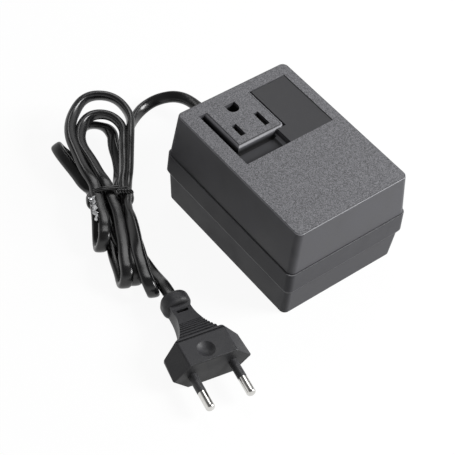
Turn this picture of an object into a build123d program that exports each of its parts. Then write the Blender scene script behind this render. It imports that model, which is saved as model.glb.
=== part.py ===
from build123d import *
import os
from math import asin, ceil, cos, dist, hypot, pi, radians, sin, sqrt, tan

os.makedirs("parts", exist_ok=True)

# Travel voltage converter: a two-part plastic case with a recessed outlet on top, a small
# transformer inside, and a flat twin mains cord, tied in a hank, with a flat two-pin plug.
# Millimetres, +Z up, origin at the middle of the case's underside.
# +X is across the case, -Y is its front end and the cord leaves the back wall at +Y.

# Case, outside: the rim's plan at the parting line, and how far each other level lies inside it
case_height = 51.4
parting_height = 28.3
rim_width = 65.6
rim_length = 86.9
top_inset_x = 2.6
top_inset_y = 1.75
cover_ledge = 0.5
band_flare = 0.2
band_height = 10.5
bevel_height = 2.6
bevel_inset = 1.0
bottom_inset_x = 1.7
bottom_inset_y = 2.0
top_corner_radius = 2.9
rim_corner_radius = 3.0
bottom_corner_radius = 2.8
top_edge_round = 0.7
bottom_edge_round = 0.6

# Case, walls and the joint between base and cover
wall = 2.2
top_wall = 2.2
floor = 2.4
lip_thickness = 1.0
lip_height = 2.0
lip_clearance = 0.15
overrun = 1.0

# Corner screws, driven from below
case_screw_radius = 1.5
case_screw_head_radius = 2.7
case_screw_head_height = 2.0
case_screw_length = 16.0
head_well_depth = 8.6
head_well_radius = 3.1
base_post_radius = 4.0
cover_post_radius = 3.2
post_joint_height = 13.6
post_joint_gap = 0.1
post_inset_x = 5.8
post_inset_y = 5.2
screw_clearance = 0.2
thread_clearance = 0.05
drive_length_share = 1.3
drive_width_share = 0.3

# Outlet in the top face: the socket's middle lies between its two blade slots
recess_margin_left = 7.5
recess_margin_right = 5.3
recess_margin_back = 6.5
slot_spacing = 12.7
ground_offset = 11.9
slot_width = 2.6
short_slot_length = 7.0
long_slot_length = 8.4
ground_width = 5.6
ground_length = 5.4
boss_width = 25.6
boss_front_reach = 8.5
boss_edge_round = 1.8
boss_corner_round = 2.4
boss_wall = 2.2
side_gap = 2.9
trough_width = 9.5
trough_depth = 4.4
trough_end = 8.2
trough_ramp_radius = 3.2
recess_back_reach = 15.7
panel_depth = 0.8
plate_thickness = 0.5
plate_clearance = 0.15

# Outlet, inside: the contact holder and its brass contacts
holder_height = 13.0
holder_clearance = 0.2
holder_foot = 2.2
contact_thickness = 0.6
blade_gap = 1.8
contact_clearance = 0.2
contact_height = 10.0
contact_end_margin = 0.6
tab_width = 2.4
tab_thickness = 0.8
tab_length = 5.4
holder_screw_radius = 1.2
holder_screw_head_radius = 2.3
holder_screw_head_height = 1.5
holder_screw_length = 14.0
holder_post_radius = 2.2
holder_post_length = 5.0
front_screw_reach = 3.6
back_screw_reach = 5.4

# Transformer: a stack of E and I plates on four posts, a bobbin on the middle leg
core_yoke = 8.0
core_gap_width = 8.0
core_height = 11.0
core_room_side = 8.5
core_room_front = 11.1
core_room_back = 3.0
core_room_above = 5.6
core_screw_radius = 1.5
core_screw_head_radius = 2.8
core_screw_head_height = 2.0
core_screw_depth = 7.0
core_hole_inset = 3.0
core_post_radius = 3.0
bobbin_wall = 1.0
flange_thickness = 1.2
flange_overhang = 7.6
flange_side_gap = 0.5
bobbin_clearance = 0.2
winding_gap = 0.4
tape_thickness = 0.4
tape_clearance = 0.1

# Cord: flat twin flex, its solid a round tube of about the same section
cord_diameter = 4.0
cord_table_gap = 0.15
relief_exit_x = 8.5
relief_exit_height = 9.5
relief_length = 21.5
relief_base_radius = 4.5
relief_tip_radius = 3.0
relief_neck_radius = 3.9
relief_flange_radius = 5.1
relief_flange_thickness = 1.2
relief_collar_thickness = 2.4
relief_seat_depth = 0.7
relief_clearance = 0.15
relief_rib_width = 1.4
relief_rib_pitch = 3.4
relief_rib_depth = 0.5
relief_ribs = 5
cord_bore_clearance = 0.1
inner_cord_length = 16.0
clamp_width = 15.0
clamp_length = 6.0
clamp_height = 3.2
clamp_y_reach = 7.0
clamp_post_radius = 2.6
clamp_screw_radius = 1.2
clamp_screw_head_radius = 2.2
clamp_screw_head_height = 1.4
clamp_screw_length = 9.0
clamp_screw_spacing = 10.4
lead_radius = 0.9
lead_spacing = 2.4
lead_drop_gap = 2.7
lead_dip = 4.6

# Cord's free stretches: its way from the relief to the hank, and from the hank to the plug.
# The one starts with a straight run out of the relief, the other ends with one into the plug.
exit_run = 10.7
exit_way = [
    (5.0, 84.2, 7.7),
    (-2.2, 90.0, 5.1),
    (-9.9, 91.4, 3.1),
    (-17.0, 88.9, 2.15),
    (-24.1, 83.1, 2.15),
]
plug_way = [(-61.9, 14.9, 2.15), (-63.05, 7.9, 2.15), (-64.9, 1.6, 4.2)]
plug_run = 7.0

# Hank: five columns of cord side by side at the waist in two layers, under one tie.
# Its own frame has u along the columns towards the upper loops and v across them.
hank_x = -54.9
hank_y = 54.2
hank_angle = 62.0
hank_columns = 5
column_pitch = 4.55
layer_low = 3.9
layer_high = 9.5
# Lower folds, standing on edge: reach from the waist, sideways place of the end, bend radius
fold_first = (62.0, 11.6, 4.3)
fold_second = (34.0, -8.2, 4.4)
fold_third = (55.0, -0.6, 4.6)
fold_fourth = (54.0, 5.4, 4.4)
fold_lean_share = 1.15
first_fold_height = 3.2
# Where the first fold climbs over the stretch that goes to the plug
crossing = (-33.0, 10.4, 7.0)
crossing_return_height = 15.0
# Upper loops: the points (u, v, z) that each goes through, and its way at them
outer_loop = [(31.0, 13.6, 14.5), (53.0, -0.4, 18.0), (31.0, -15.0, 15.0)]
outer_loop_way_shares = [(1, 0, 0.14), (0, -1, 0), (-1, 0, -0.14)]
left_loop_start = (9.0, -13.7, 2.35)
left_loop_corner = (20.0, -21.2, 2.15)
left_loop_lean = 5.6
left_loop_rise = 6.6
left_loop_end = (11.0, -9.4, 5.9)
left_loop_way_shares = [(0.8, -0.6, -0.03), (0.8, -0.6, 0), (-0.8, 0.6, -0.05), (-0.84, 0.52, -0.14)]
inner_loop = [(27.0, -8.6, 12.5), (41.5, 0.2, 14.0), (25.0, 8.4, 12.3)]
inner_loop_way_shares = [(1, -0.02, 0.1), (0, 1, 0), (-1, 0, -0.1)]
right_loop = [(13.5, -4.6, 4.0), (27.0, -11.4, 5.2), (38.8, -4.6, 7.4), (24.0, 3.6, 6.2)]
right_loop_way_shares = [(0.87, -0.49, 0.04), (1, -0.08, 0.05), (0, 1, 0), (-1, 0.02, -0.08)]
plug_side_point = (-20.0, 6.6, 2.15)
plug_side_way_share = (-1, 0.28, 0)
parallel_share = 1e-9
straight_share = 1e-6
straight_radius = 1e9
gap_step = 1.5
gap_skip = 14.0

# Wire tie round the waist, with its twisted knot on top and a flat tail at the left
tie_width = 2.4
tie_thickness = 1.0
tie_clearance = 0.25
tie_corner_radius = 2.2
tie_knot_radius = 1.4
tie_knot_length = 8.0
tie_knot_end = 12.0
tie_tail_length = 21.0
tie_tail_height = 2.8
tie_tail_drop = 1.6

# Plug: flat two-pin body lying on its broad side, pins along its own axis
plug_x = -76.85
plug_y = -50.55
plug_angle = -101.4
plug_width = 35.6
plug_back_width = 33.8
plug_height = 15.0
plug_table_gap = 0.05
plug_flat_width = 21.4
plug_straight = 11.2
plug_shoulder = 14.6
plug_shoulder_width = 17.8
plug_waist = 22.0
plug_waist_width = 10.6
plug_neck = 31.0
plug_neck_width = 8.8
plug_neck_height = 7.8
plug_end = 39.6
plug_top_round = 1.4
plug_bottom_round = 2.2
plug_side_round = 0.9
plug_face_round = 0.6
collar_width = 12.6
collar_height = 13.0
collar_corner = 5.4
collar_start = 32.6
collar_round = 2.4
dimple_radius = 3.9
dimple_depth = 1.5
dimple_back = 5.6
dimple_side = 0.9
plug_grooves = 8
groove_first = 12.9
groove_pitch = 1.7
groove_pitch_loss = 0.14
groove_wide = 0.9
groove_narrow = 0.5
groove_deep = 0.7
groove_shallow = 0.35
slit_back = 29.2
slit_side = 0.2
slit_width = 5.2
slit_length = 1.5
slit_depth = 2.4
bridge_width = 25.0
bridge_length = 5.0
bridge_height = 6.4
bridge_back = 2.6
bridge_clearance = 0.05
pin_radius = 2.0
pin_core_radius = 1.6
pin_spacing = 18.4
pin_length = 17.6
pin_root = 9.0
pin_tip_round = 1.3
sleeve_length = 9.0
pin_clearance = 0.05

# Sizes and places worked out from the ones above
band_foot = parting_height - band_height
bevel_foot = band_foot - bevel_height
top_width = rim_width - 2 * top_inset_x
top_length = rim_length - 2 * top_inset_y
cover_foot_width = rim_width - 2 * cover_ledge
cover_foot_length = rim_length - 2 * cover_ledge
band_foot_width = rim_width + 2 * band_flare
band_foot_length = rim_length + 2 * band_flare
lower_width = rim_width - 2 * bevel_inset
lower_length = rim_length - 2 * bevel_inset
bottom_width = rim_width - 2 * bottom_inset_x
bottom_length = rim_length - 2 * bottom_inset_y
recess_left = recess_margin_left - top_width / 2
recess_back = top_length / 2 - recess_margin_back
panel_right = top_width / 2 - recess_margin_right
socket_x = recess_left + side_gap + boss_width / 2
socket_y = recess_back - recess_back_reach
boss_left = socket_x - boss_width / 2
boss_right = socket_x + boss_width / 2
boss_front = socket_y - boss_front_reach
recess_front = boss_front - trough_width
trough_right = socket_x + trough_end
trough_floor = case_height - trough_depth
cover_ceiling = case_height - top_wall
post_x = bottom_width / 2 - post_inset_x
post_y = bottom_length / 2 - post_inset_y


def between(low, high, share):
    return low + (high - low) * share


def cover_size(height):
    """Outer width and length of the cover at a height."""
    share = (height - parting_height) / (case_height - parting_height)
    return (between(cover_foot_width, top_width, share), between(cover_foot_length, top_length, share))


def base_size(height):
    """Outer width and length of the base's lower wall at a height."""
    share = height / bevel_foot
    return (between(bottom_width, lower_width, share), between(bottom_length, lower_length, share))


def rounded_plate(plane, size, radius):
    """One rounded rectangle on a plane, as a loft's section or an extrusion's outline."""
    with BuildSketch(plane) as plate:
        RectangleRounded(size[0], size[1], radius)
    return plate.sketch


def level(height):
    return Plane.XY.offset(height)


def less(size, margin):
    return (size[0] - 2 * margin, size[1] - 2 * margin)


inner_foot = less((cover_foot_width, cover_foot_length), wall)
inner_radius = rim_corner_radius - wall

# Boss form: the raised outlet block with its rounded upper edges, and the slivers around it
with BuildPart() as boss_form:
    with BuildSketch(level(trough_floor)) as boss_outline:
        with BuildLine():
            Polyline(
                (boss_left, recess_back),
                (boss_left, boss_front),
                (boss_right, boss_front),
                (boss_right, recess_back),
                close=True,
            )
        make_face()
        front_right = boss_outline.vertices().sort_by(Axis.X)[-2:].sort_by(Axis.Y)[:1]
        fillet(front_right, boss_corner_round)
    extrude(amount=trough_depth)
    boss_top = boss_form.faces().sort_by(Axis.Z)[-1]
    front_and_left = boss_top.edges().sort_by(Axis.Y)[:-1]
    fillet(front_and_left, boss_edge_round)

with BuildPart() as boss_trim:
    with BuildSketch(level(case_height - boss_edge_round)):
        with Locations(((boss_left + boss_right) / 2, (boss_front + recess_back) / 2)):
            Rectangle(boss_right - boss_left, recess_back - boss_front)
    extrude(amount=boss_edge_round)
    add(boss_form.part, mode=Mode.SUBTRACT)

# Cover: tapered shell with the outlet boss, its trough and the shallow panel pocket
with BuildPart() as top_cover:
    loft(
        sections=[
            rounded_plate(level(parting_height), (cover_foot_width, cover_foot_length), rim_corner_radius),
            rounded_plate(level(case_height), (top_width, top_length), top_corner_radius),
        ],
        ruled=True,
    )
    top_edges = top_cover.faces().sort_by(Axis.Z)[-1].edges()
    fillet(top_edges, top_edge_round)
    loft(
        sections=[
            rounded_plate(level(parting_height), inner_foot, inner_radius),
            rounded_plate(
                level(cover_ceiling), less(cover_size(cover_ceiling), wall), top_corner_radius - wall / 2
            ),
        ],
        ruled=True,
        mode=Mode.SUBTRACT,
    )
    # Rebate for the base's lip
    with BuildSketch(level(parting_height)):
        RectangleRounded(
            inner_foot[0] + 2 * (lip_thickness + lip_clearance),
            inner_foot[1] + 2 * (lip_thickness + lip_clearance),
            inner_radius + lip_thickness,
        )
    extrude(amount=lip_height + lip_clearance, mode=Mode.SUBTRACT)
    # Thicker ground under the recess and around the contact holder
    tub_left = recess_left - wall
    tub_front = recess_front - wall
    tub_back = recess_back + boss_wall
    with BuildSketch(level(trough_floor - wall)):
        with Locations(((tub_left + boss_right) / 2, (tub_front + tub_back) / 2)):
            Rectangle(boss_right - tub_left, tub_back - tub_front)
    extrude(amount=trough_depth + wall - top_wall / 2)
    with BuildSketch(level(trough_floor - wall)):
        with Locations(
            ((boss_left + boss_right) / 2, (boss_front + boss_wall + recess_back) / 2)
        ):
            Rectangle(boss_width - 2 * boss_wall, recess_back - boss_front - boss_wall)
    extrude(amount=cover_ceiling - trough_floor + wall, mode=Mode.SUBTRACT)
    # Posts for the corner screws
    with BuildSketch(level(post_joint_height + post_joint_gap)):
        with GridLocations(2 * post_x, 2 * post_y, 2, 2):
            Circle(cover_post_radius)
    extrude(amount=cover_ceiling + top_wall / 2 - post_joint_height - post_joint_gap)
    with BuildSketch(level(post_joint_height)):
        with GridLocations(2 * post_x, 2 * post_y, 2, 2):
            Circle(case_screw_radius + thread_clearance)
    extrude(amount=case_screw_length, mode=Mode.SUBTRACT)
    # Posts for the holder's screws
    holder_screw_places = [
        (socket_x, socket_y - front_screw_reach),
        (socket_x, socket_y + back_screw_reach),
    ]
    with BuildSketch(level(cover_ceiling - holder_post_length)):
        with Locations(*holder_screw_places):
            Circle(holder_post_radius)
    extrude(amount=holder_post_length + top_wall / 2)
    with BuildSketch(level(cover_ceiling - holder_post_length)):
        with Locations(*holder_screw_places):
            Circle(holder_screw_radius + thread_clearance)
    extrude(amount=holder_post_length + top_wall / 2, mode=Mode.SUBTRACT)
    # Trough round the boss, with a ramp at its right end
    with BuildSketch(level(trough_floor)):
        with BuildLine():
            Polyline(
                (recess_left, recess_front),
                (trough_right, recess_front),
                (trough_right, boss_front),
                (boss_left, boss_front),
                (boss_left, recess_back),
                (recess_left, recess_back),
                close=True,
            )
        make_face()
    extrude(amount=trough_depth + overrun, mode=Mode.SUBTRACT)
    ramp_edges = (
        top_cover.edges()
        .filter_by(Axis.Y)
        .filter_by_position(Axis.Z, trough_floor - lip_clearance, trough_floor + lip_clearance)
        .filter_by_position(Axis.X, trough_right - lip_clearance, trough_right + lip_clearance)
    )
    fillet(ramp_edges, trough_ramp_radius)
    add(boss_trim.part, mode=Mode.SUBTRACT)
    # Shallow pocket for the rating plate
    with BuildSketch(level(case_height - panel_depth)):
        with BuildLine():
            Polyline(
                (trough_right, recess_front),
                (panel_right, recess_front),
                (panel_right, recess_back),
                (boss_right, recess_back),
                (boss_right, boss_front),
                (trough_right, boss_front),
                close=True,
            )
        make_face()
    extrude(amount=panel_depth + overrun, mode=Mode.SUBTRACT)
    # Blade slots and the D-shaped ground hole
    with BuildSketch(level(cover_ceiling)):
        with Locations((socket_x - slot_spacing / 2, socket_y)):
            Rectangle(slot_width, short_slot_length)
        with Locations((socket_x + slot_spacing / 2, socket_y)):
            Rectangle(slot_width, long_slot_length)
        ground_y = socket_y + ground_offset
        with Locations((socket_x, ground_y - ground_length / 2 + ground_width / 2)):
            Circle(ground_width / 2)
        with Locations((socket_x, ground_y + ground_width / 4)):
            Rectangle(ground_width, ground_length - ground_width / 2)
        with Locations((socket_x, ground_y + ground_length / 2 + overrun / 2)):
            Rectangle(ground_width, overrun, mode=Mode.SUBTRACT)
    extrude(amount=top_wall + overrun, mode=Mode.SUBTRACT)
top_cover.part.label = "top_cover"
export_step(top_cover.part, "parts/top_cover.step")

# Rating plate: a thin smooth plate stuck in the pocket, bare
with BuildPart() as rating_plate:
    with BuildSketch(level(case_height - panel_depth)):
        with BuildLine():
            Polyline(
                (trough_right + plate_clearance, recess_front + plate_clearance),
                (panel_right - plate_clearance, recess_front + plate_clearance),
                (panel_right - plate_clearance, recess_back - plate_clearance),
                (boss_right + plate_clearance, recess_back - plate_clearance),
                (boss_right + plate_clearance, boss_front - plate_clearance),
                (trough_right + plate_clearance, boss_front - plate_clearance),
                close=True,
            )
        make_face()
    extrude(amount=plate_thickness)
rating_plate.part.label = "rating_plate"
export_step(rating_plate.part, "parts/rating_plate.step")

# Base: tapered tray with a proud rim band, a lip, screw posts and the cord's hole
bore_y = base_size(relief_exit_height)[1] / 2
core_width = rim_width - 2 * core_room_side
core_leg = core_width - 2 * core_yoke - 2 * core_gap_width
core_front = core_room_front - rim_length / 2
core_back = boss_front - core_room_back
core_window = core_back - core_front - 2 * core_yoke
core_stack = cover_ceiling - core_room_above - flange_overhang - core_height
core_y = (core_front + core_back) / 2
core_hole_x = core_width / 2 - core_hole_inset
core_hole_y = (core_back - core_front) / 2 - core_hole_inset
clamp_y = bore_y - wall - relief_collar_thickness - clamp_y_reach
clamp_post_top = relief_exit_height + cord_bore_clearance
with BuildPart() as base_shell:
    loft(
        sections=[
            rounded_plate(level(0), (bottom_width, bottom_length), bottom_corner_radius),
            rounded_plate(level(bevel_foot), (lower_width, lower_length), rim_corner_radius - wall / 4),
        ],
        ruled=True,
    )
    bottom_edges = base_shell.faces().sort_by(Axis.Z)[0].edges()
    fillet(bottom_edges, bottom_edge_round)
    loft(
        sections=[
            rounded_plate(level(bevel_foot), (lower_width, lower_length), rim_corner_radius - wall / 4),
            rounded_plate(level(band_foot), (band_foot_width, band_foot_length), rim_corner_radius),
        ],
        ruled=True,
    )
    loft(
        sections=[
            rounded_plate(level(band_foot), (band_foot_width, band_foot_length), rim_corner_radius),
            rounded_plate(level(parting_height), (rim_width, rim_length), rim_corner_radius),
        ],
        ruled=True,
    )
    with BuildSketch(level(parting_height)):
        RectangleRounded(
            inner_foot[0] + 2 * lip_thickness,
            inner_foot[1] + 2 * lip_thickness,
            inner_radius + lip_thickness,
        )
    extrude(amount=lip_height)
    loft(
        sections=[
            rounded_plate(level(floor), less(base_size(floor), wall), inner_radius),
            rounded_plate(level(parting_height), inner_foot, inner_radius),
        ],
        ruled=True,
        mode=Mode.SUBTRACT,
    )
    with BuildSketch(level(parting_height)):
        RectangleRounded(inner_foot[0], inner_foot[1], inner_radius)
    extrude(amount=lip_height + overrun, mode=Mode.SUBTRACT)
    # Corner posts, posts under the core and posts for the cord clamp
    with BuildSketch(level(floor / 2)):
        with GridLocations(2 * post_x, 2 * post_y, 2, 2):
            Circle(base_post_radius)
    extrude(amount=post_joint_height - floor / 2)
    with BuildSketch(level(floor / 2)):
        with Locations((0, core_y)):
            with GridLocations(2 * core_hole_x, 2 * core_hole_y, 2, 2):
                Circle(core_post_radius)
    extrude(amount=core_height - floor / 2)
    with BuildSketch(level(floor / 2)):
        with Locations((relief_exit_x, clamp_y)):
            with GridLocations(clamp_screw_spacing, clamp_length, 2, 1):
                Circle(clamp_post_radius)
    extrude(amount=clamp_post_top - floor / 2)
    # Screw wells and bores
    with BuildSketch(level(0)):
        with GridLocations(2 * post_x, 2 * post_y, 2, 2):
            Circle(head_well_radius)
    extrude(amount=head_well_depth, mode=Mode.SUBTRACT)
    with BuildSketch(level(0)):
        with GridLocations(2 * post_x, 2 * post_y, 2, 2):
            Circle(case_screw_radius + screw_clearance)
    extrude(amount=post_joint_height + overrun, mode=Mode.SUBTRACT)
    with BuildSketch(level(core_height)):
        with Locations((0, core_y)):
            with GridLocations(2 * core_hole_x, 2 * core_hole_y, 2, 2):
                Circle(core_screw_radius + thread_clearance)
    extrude(amount=-core_screw_depth - thread_clearance, mode=Mode.SUBTRACT)
    with BuildSketch(level(clamp_post_top)):
        with Locations((relief_exit_x, clamp_y)):
            with GridLocations(clamp_screw_spacing, clamp_length, 2, 1):
                Circle(clamp_screw_radius + thread_clearance)
    extrude(
        amount=clamp_height + cord_bore_clearance - clamp_screw_length - thread_clearance,
        mode=Mode.SUBTRACT,
    )
    # Hole and flat seat for the cord's strain relief
    relief_plane = Plane(origin=(relief_exit_x, bore_y, relief_exit_height), x_dir=(1, 0, 0), z_dir=(0, 1, 0))
    with BuildSketch(relief_plane.offset(-2 * wall)):
        Circle(relief_neck_radius + relief_clearance)
    extrude(amount=3 * wall, mode=Mode.SUBTRACT)
    with BuildSketch(relief_plane.offset(-relief_seat_depth)):
        Circle(relief_flange_radius + relief_clearance)
    extrude(amount=relief_seat_depth + 2 * wall, mode=Mode.SUBTRACT)
base_shell.part.label = "base_shell"
export_step(base_shell.part, "parts/base_shell.step")


def screw_set(plane, places, shank_radius, head_radius, head_height, length):
    """Pan-head screws on a plane at their head's seat, shanks along the plane's normal."""
    with BuildPart() as screws:
        with BuildSketch(plane):
            with Locations(*places):
                Circle(shank_radius)
        extrude(amount=length)
        with BuildSketch(plane):
            with Locations(*places):
                Circle(head_radius)
        extrude(amount=-head_height)
        drive_plane = plane.offset(-head_height)
        with BuildSketch(drive_plane):
            with Locations(*places):
                Rectangle(drive_length_share * head_radius, drive_width_share * head_radius)
                Rectangle(drive_width_share * head_radius, drive_length_share * head_radius)
        extrude(amount=head_height / 2, mode=Mode.SUBTRACT)
    return screws.part


corner_places = [(sx * post_x, sy * post_y) for sx in (-1, 1) for sy in (-1, 1)]
with BuildPart() as case_screws:
    add(
        screw_set(
            level(head_well_depth),
            corner_places,
            case_screw_radius,
            case_screw_head_radius,
            case_screw_head_height,
            case_screw_length,
        )
    )
case_screws.part.label = "case_screws"
export_step(case_screws.part, "parts/case_screws.step")

# Contact holder: moulded block under the outlet with a pocket for each contact
holder_top = cover_ceiling - holder_clearance
holder_bottom = holder_top - holder_height
holder_width = boss_width - 2 * boss_wall - 2 * holder_clearance
holder_length = recess_back - boss_front - boss_wall - 2 * holder_clearance
holder_y = (boss_front + boss_wall + recess_back) / 2
pocket_width = blade_gap + 2 * contact_thickness + 2 * contact_clearance
slot_places = [socket_x - slot_spacing / 2, socket_x + slot_spacing / 2]
slot_lengths = [short_slot_length, long_slot_length]
contact_top = holder_top - contact_clearance
contact_bottom = contact_top - contact_height
with BuildPart() as contact_holder:
    with BuildSketch(level(holder_bottom)):
        with Locations((socket_x, holder_y)):
            Rectangle(holder_width, holder_length)
    extrude(amount=holder_height)
    for slot_x, slot_length in zip(slot_places, slot_lengths):
        with BuildSketch(level(contact_bottom - contact_clearance)):
            with Locations((slot_x, socket_y)):
                Rectangle(pocket_width, slot_length + 2 * contact_end_margin + 2 * contact_clearance)
        extrude(amount=holder_height, mode=Mode.SUBTRACT)
        with BuildSketch(level(holder_bottom)):
            with Locations((slot_x, socket_y)):
                Rectangle(tab_thickness + 2 * contact_clearance, tab_width + 2 * contact_clearance)
        extrude(amount=holder_height, mode=Mode.SUBTRACT)
    with BuildSketch(level(holder_bottom + holder_foot)):
        with Locations((socket_x, ground_y)):
            Rectangle(ground_width, ground_length)
    extrude(amount=holder_height, mode=Mode.SUBTRACT)
    with BuildSketch(level(holder_top - holder_post_length)):
        with Locations(*holder_screw_places):
            Circle(holder_post_radius + holder_clearance)
    extrude(amount=holder_post_length + holder_clearance, mode=Mode.SUBTRACT)
    with BuildSketch(level(holder_bottom)):
        with Locations(*holder_screw_places):
            Circle(holder_screw_radius + screw_clearance)
    extrude(amount=holder_height, mode=Mode.SUBTRACT)
contact_holder.part.label = "contact_holder"
export_step(contact_holder.part, "parts/contact_holder.step")

with BuildPart() as holder_screws:
    add(
        screw_set(
            level(holder_bottom),
            holder_screw_places,
            holder_screw_radius,
            holder_screw_head_radius,
            holder_screw_head_height,
            holder_screw_length,
        )
    )
holder_screws.part.label = "holder_screws"
export_step(holder_screws.part, "parts/holder_screws.step")


def blade_contact(slot_x, slot_length):
    """A U-shaped brass spring for one blade, with a solder tab through the holder's foot."""
    with BuildPart() as contact:
        with BuildSketch(level(contact_bottom)):
            with Locations((slot_x, socket_y)):
                Rectangle(blade_gap + 2 * contact_thickness, slot_length + 2 * contact_end_margin)
        extrude(amount=contact_height)
        with BuildSketch(level(contact_bottom + contact_thickness)):
            with Locations((slot_x, socket_y)):
                Rectangle(blade_gap, slot_length + 2 * contact_end_margin + overrun)
        extrude(amount=contact_height, mode=Mode.SUBTRACT)
        with BuildSketch(level(contact_bottom + contact_thickness / 2)):
            with Locations((slot_x, socket_y)):
                Rectangle(tab_thickness, tab_width)
        extrude(amount=-(tab_length + contact_thickness / 2))
    return contact.part


with BuildPart() as contact_short:
    add(blade_contact(slot_places[0], slot_lengths[0]))
contact_short.part.label = "contact_short"
export_step(contact_short.part, "parts/contact_short.step")

with BuildPart() as contact_long:
    add(blade_contact(slot_places[1], slot_lengths[1]))
contact_long.part.label = "contact_long"
export_step(contact_long.part, "parts/contact_long.step")

# Transformer core: E plates with the three legs, and the I plates that close them
i_front = core_front
e_front = core_front + core_yoke
core_hole_radius = core_screw_radius + screw_clearance
core_corner_places = [
    (sx * core_hole_x, core_y + sy * core_hole_y) for sx in (-1, 1) for sy in (-1, 1)
]
with BuildPart() as core_e_plates:
    with BuildSketch(level(core_height)):
        with Locations((0, (e_front + core_back) / 2)):
            Rectangle(core_width, core_back - e_front)
        with Locations((0, e_front + core_window / 2)):
            with GridLocations(core_leg + core_gap_width, core_window, 2, 1):
                Rectangle(core_gap_width, core_window, mode=Mode.SUBTRACT)
        with Locations(*[place for place in core_corner_places if place[1] > core_y]):
            Circle(core_hole_radius, mode=Mode.SUBTRACT)
    extrude(amount=core_stack)
core_e_plates.part.label = "core_e_plates"
export_step(core_e_plates.part, "parts/core_e_plates.step")

with BuildPart() as core_i_plates:
    with BuildSketch(level(core_height)):
        with Locations((0, i_front + core_yoke / 2)):
            Rectangle(core_width, core_yoke)
        with Locations(*[place for place in core_corner_places if place[1] < core_y]):
            Circle(core_hole_radius, mode=Mode.SUBTRACT)
    extrude(amount=core_stack)
core_i_plates.part.label = "core_i_plates"
export_step(core_i_plates.part, "parts/core_i_plates.step")

with BuildPart() as core_screws:
    add(
        screw_set(
            Plane(origin=(0, 0, core_height + core_stack), x_dir=(1, 0, 0), z_dir=(0, 0, -1)),
            [(x, -y) for x, y in core_corner_places],
            core_screw_radius,
            core_screw_head_radius,
            core_screw_head_height,
            core_stack + core_screw_depth,
        )
    )
core_screws.part.label = "core_screws"
export_step(core_screws.part, "parts/core_screws.step")

# Bobbin on the middle leg, its axis along Y
coil_middle = core_height + core_stack / 2
bobbin_front = e_front + bobbin_clearance
bobbin_back = e_front + core_window - bobbin_clearance
bobbin_length = bobbin_back - bobbin_front
coil_plane = Plane(origin=(0, bobbin_front, coil_middle), x_dir=(1, 0, 0), z_dir=(0, -1, 0))
leg_hole = (core_leg + 2 * bobbin_clearance, core_stack + 2 * bobbin_clearance)
tube_size = (leg_hole[0] + 2 * bobbin_wall, leg_hole[1] + 2 * bobbin_wall)
flange_size = (
    core_leg + 2 * (core_gap_width - flange_side_gap),
    core_stack + 2 * flange_overhang,
)
winding_depth = (
    core_gap_width - bobbin_clearance - bobbin_wall - 2 * tape_clearance - tape_thickness - winding_gap
)
with BuildPart() as bobbin:
    with BuildSketch(coil_plane):
        Rectangle(*tube_size)
    extrude(amount=-bobbin_length)
    with BuildSketch(coil_plane, coil_plane.offset(flange_thickness - bobbin_length)):
        Rectangle(*flange_size)
    extrude(amount=-flange_thickness)
    with BuildSketch(coil_plane.offset(overrun)):
        Rectangle(*leg_hole)
    extrude(amount=-bobbin_length - 2 * overrun, mode=Mode.SUBTRACT)
bobbin.part.label = "bobbin"
export_step(bobbin.part, "parts/bobbin.step")

winding_length = bobbin_length - 2 * flange_thickness - 2 * tape_clearance
winding_plane = coil_plane.offset(-flange_thickness - tape_clearance)
winding_inner = less(tube_size, -tape_clearance)
winding_outer = less(winding_inner, -winding_depth)
with BuildPart() as winding:
    with BuildSketch(winding_plane):
        RectangleRounded(winding_outer[0], winding_outer[1], winding_depth / 2)
        Rectangle(*winding_inner, mode=Mode.SUBTRACT)
    extrude(amount=-winding_length)
winding.part.label = "winding"
export_step(winding.part, "parts/winding.step")

tape_inner = less(winding_outer, -tape_clearance)
tape_outer = less(tape_inner, -tape_thickness)
with BuildPart() as winding_tape:
    with BuildSketch(winding_plane):
        RectangleRounded(tape_outer[0], tape_outer[1], winding_depth / 2 + tape_thickness)
        RectangleRounded(tape_inner[0], tape_inner[1], winding_depth / 2 + tape_clearance, mode=Mode.SUBTRACT)
    extrude(amount=-winding_length)
winding_tape.part.label = "winding_tape"
export_step(winding_tape.part, "parts/winding_tape.step")

# Strain relief in the base's back wall, tapered and ribbed
relief_seat = relief_plane.offset(-relief_seat_depth)
relief_tip_y = bore_y - relief_seat_depth + relief_flange_thickness + relief_length
inner_wall_y = less(base_size(relief_exit_height - relief_flange_radius), wall)[1] / 2
collar_plane = Plane(
    origin=(relief_exit_x, inner_wall_y - relief_clearance, relief_exit_height),
    x_dir=(1, 0, 0),
    z_dir=(0, 1, 0),
)
neck_length = bore_y - relief_seat_depth - inner_wall_y + relief_clearance
with BuildPart() as strain_relief:
    with BuildSketch(relief_seat):
        Circle(relief_flange_radius)
    extrude(amount=relief_flange_thickness)
    with BuildSketch(relief_seat.offset(relief_flange_thickness)):
        Circle(relief_base_radius)
    with BuildSketch(relief_seat.offset(relief_flange_thickness + relief_length)):
        Circle(relief_tip_radius)
    loft()
    with BuildSketch(collar_plane):
        Circle(relief_neck_radius)
    extrude(amount=neck_length)
    with BuildSketch(collar_plane):
        Circle(relief_flange_radius)
    extrude(amount=-relief_collar_thickness)
    for rib in range(relief_ribs):
        groove_start = relief_flange_thickness + relief_rib_pitch * (rib + 0.5)
        groove_share = (groove_start - relief_flange_thickness) / relief_length
        with BuildSketch(relief_seat.offset(groove_start)):
            Circle(relief_base_radius + overrun)
            Circle(between(relief_base_radius, relief_tip_radius, groove_share) - relief_rib_depth,
                   mode=Mode.SUBTRACT)
        extrude(amount=relief_rib_width, mode=Mode.SUBTRACT)
    with BuildSketch(collar_plane.offset(-relief_collar_thickness - overrun)):
        Circle(cord_diameter / 2 + cord_bore_clearance)
    extrude(amount=relief_length + 4 * wall + 2 * relief_collar_thickness, mode=Mode.SUBTRACT)
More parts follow.
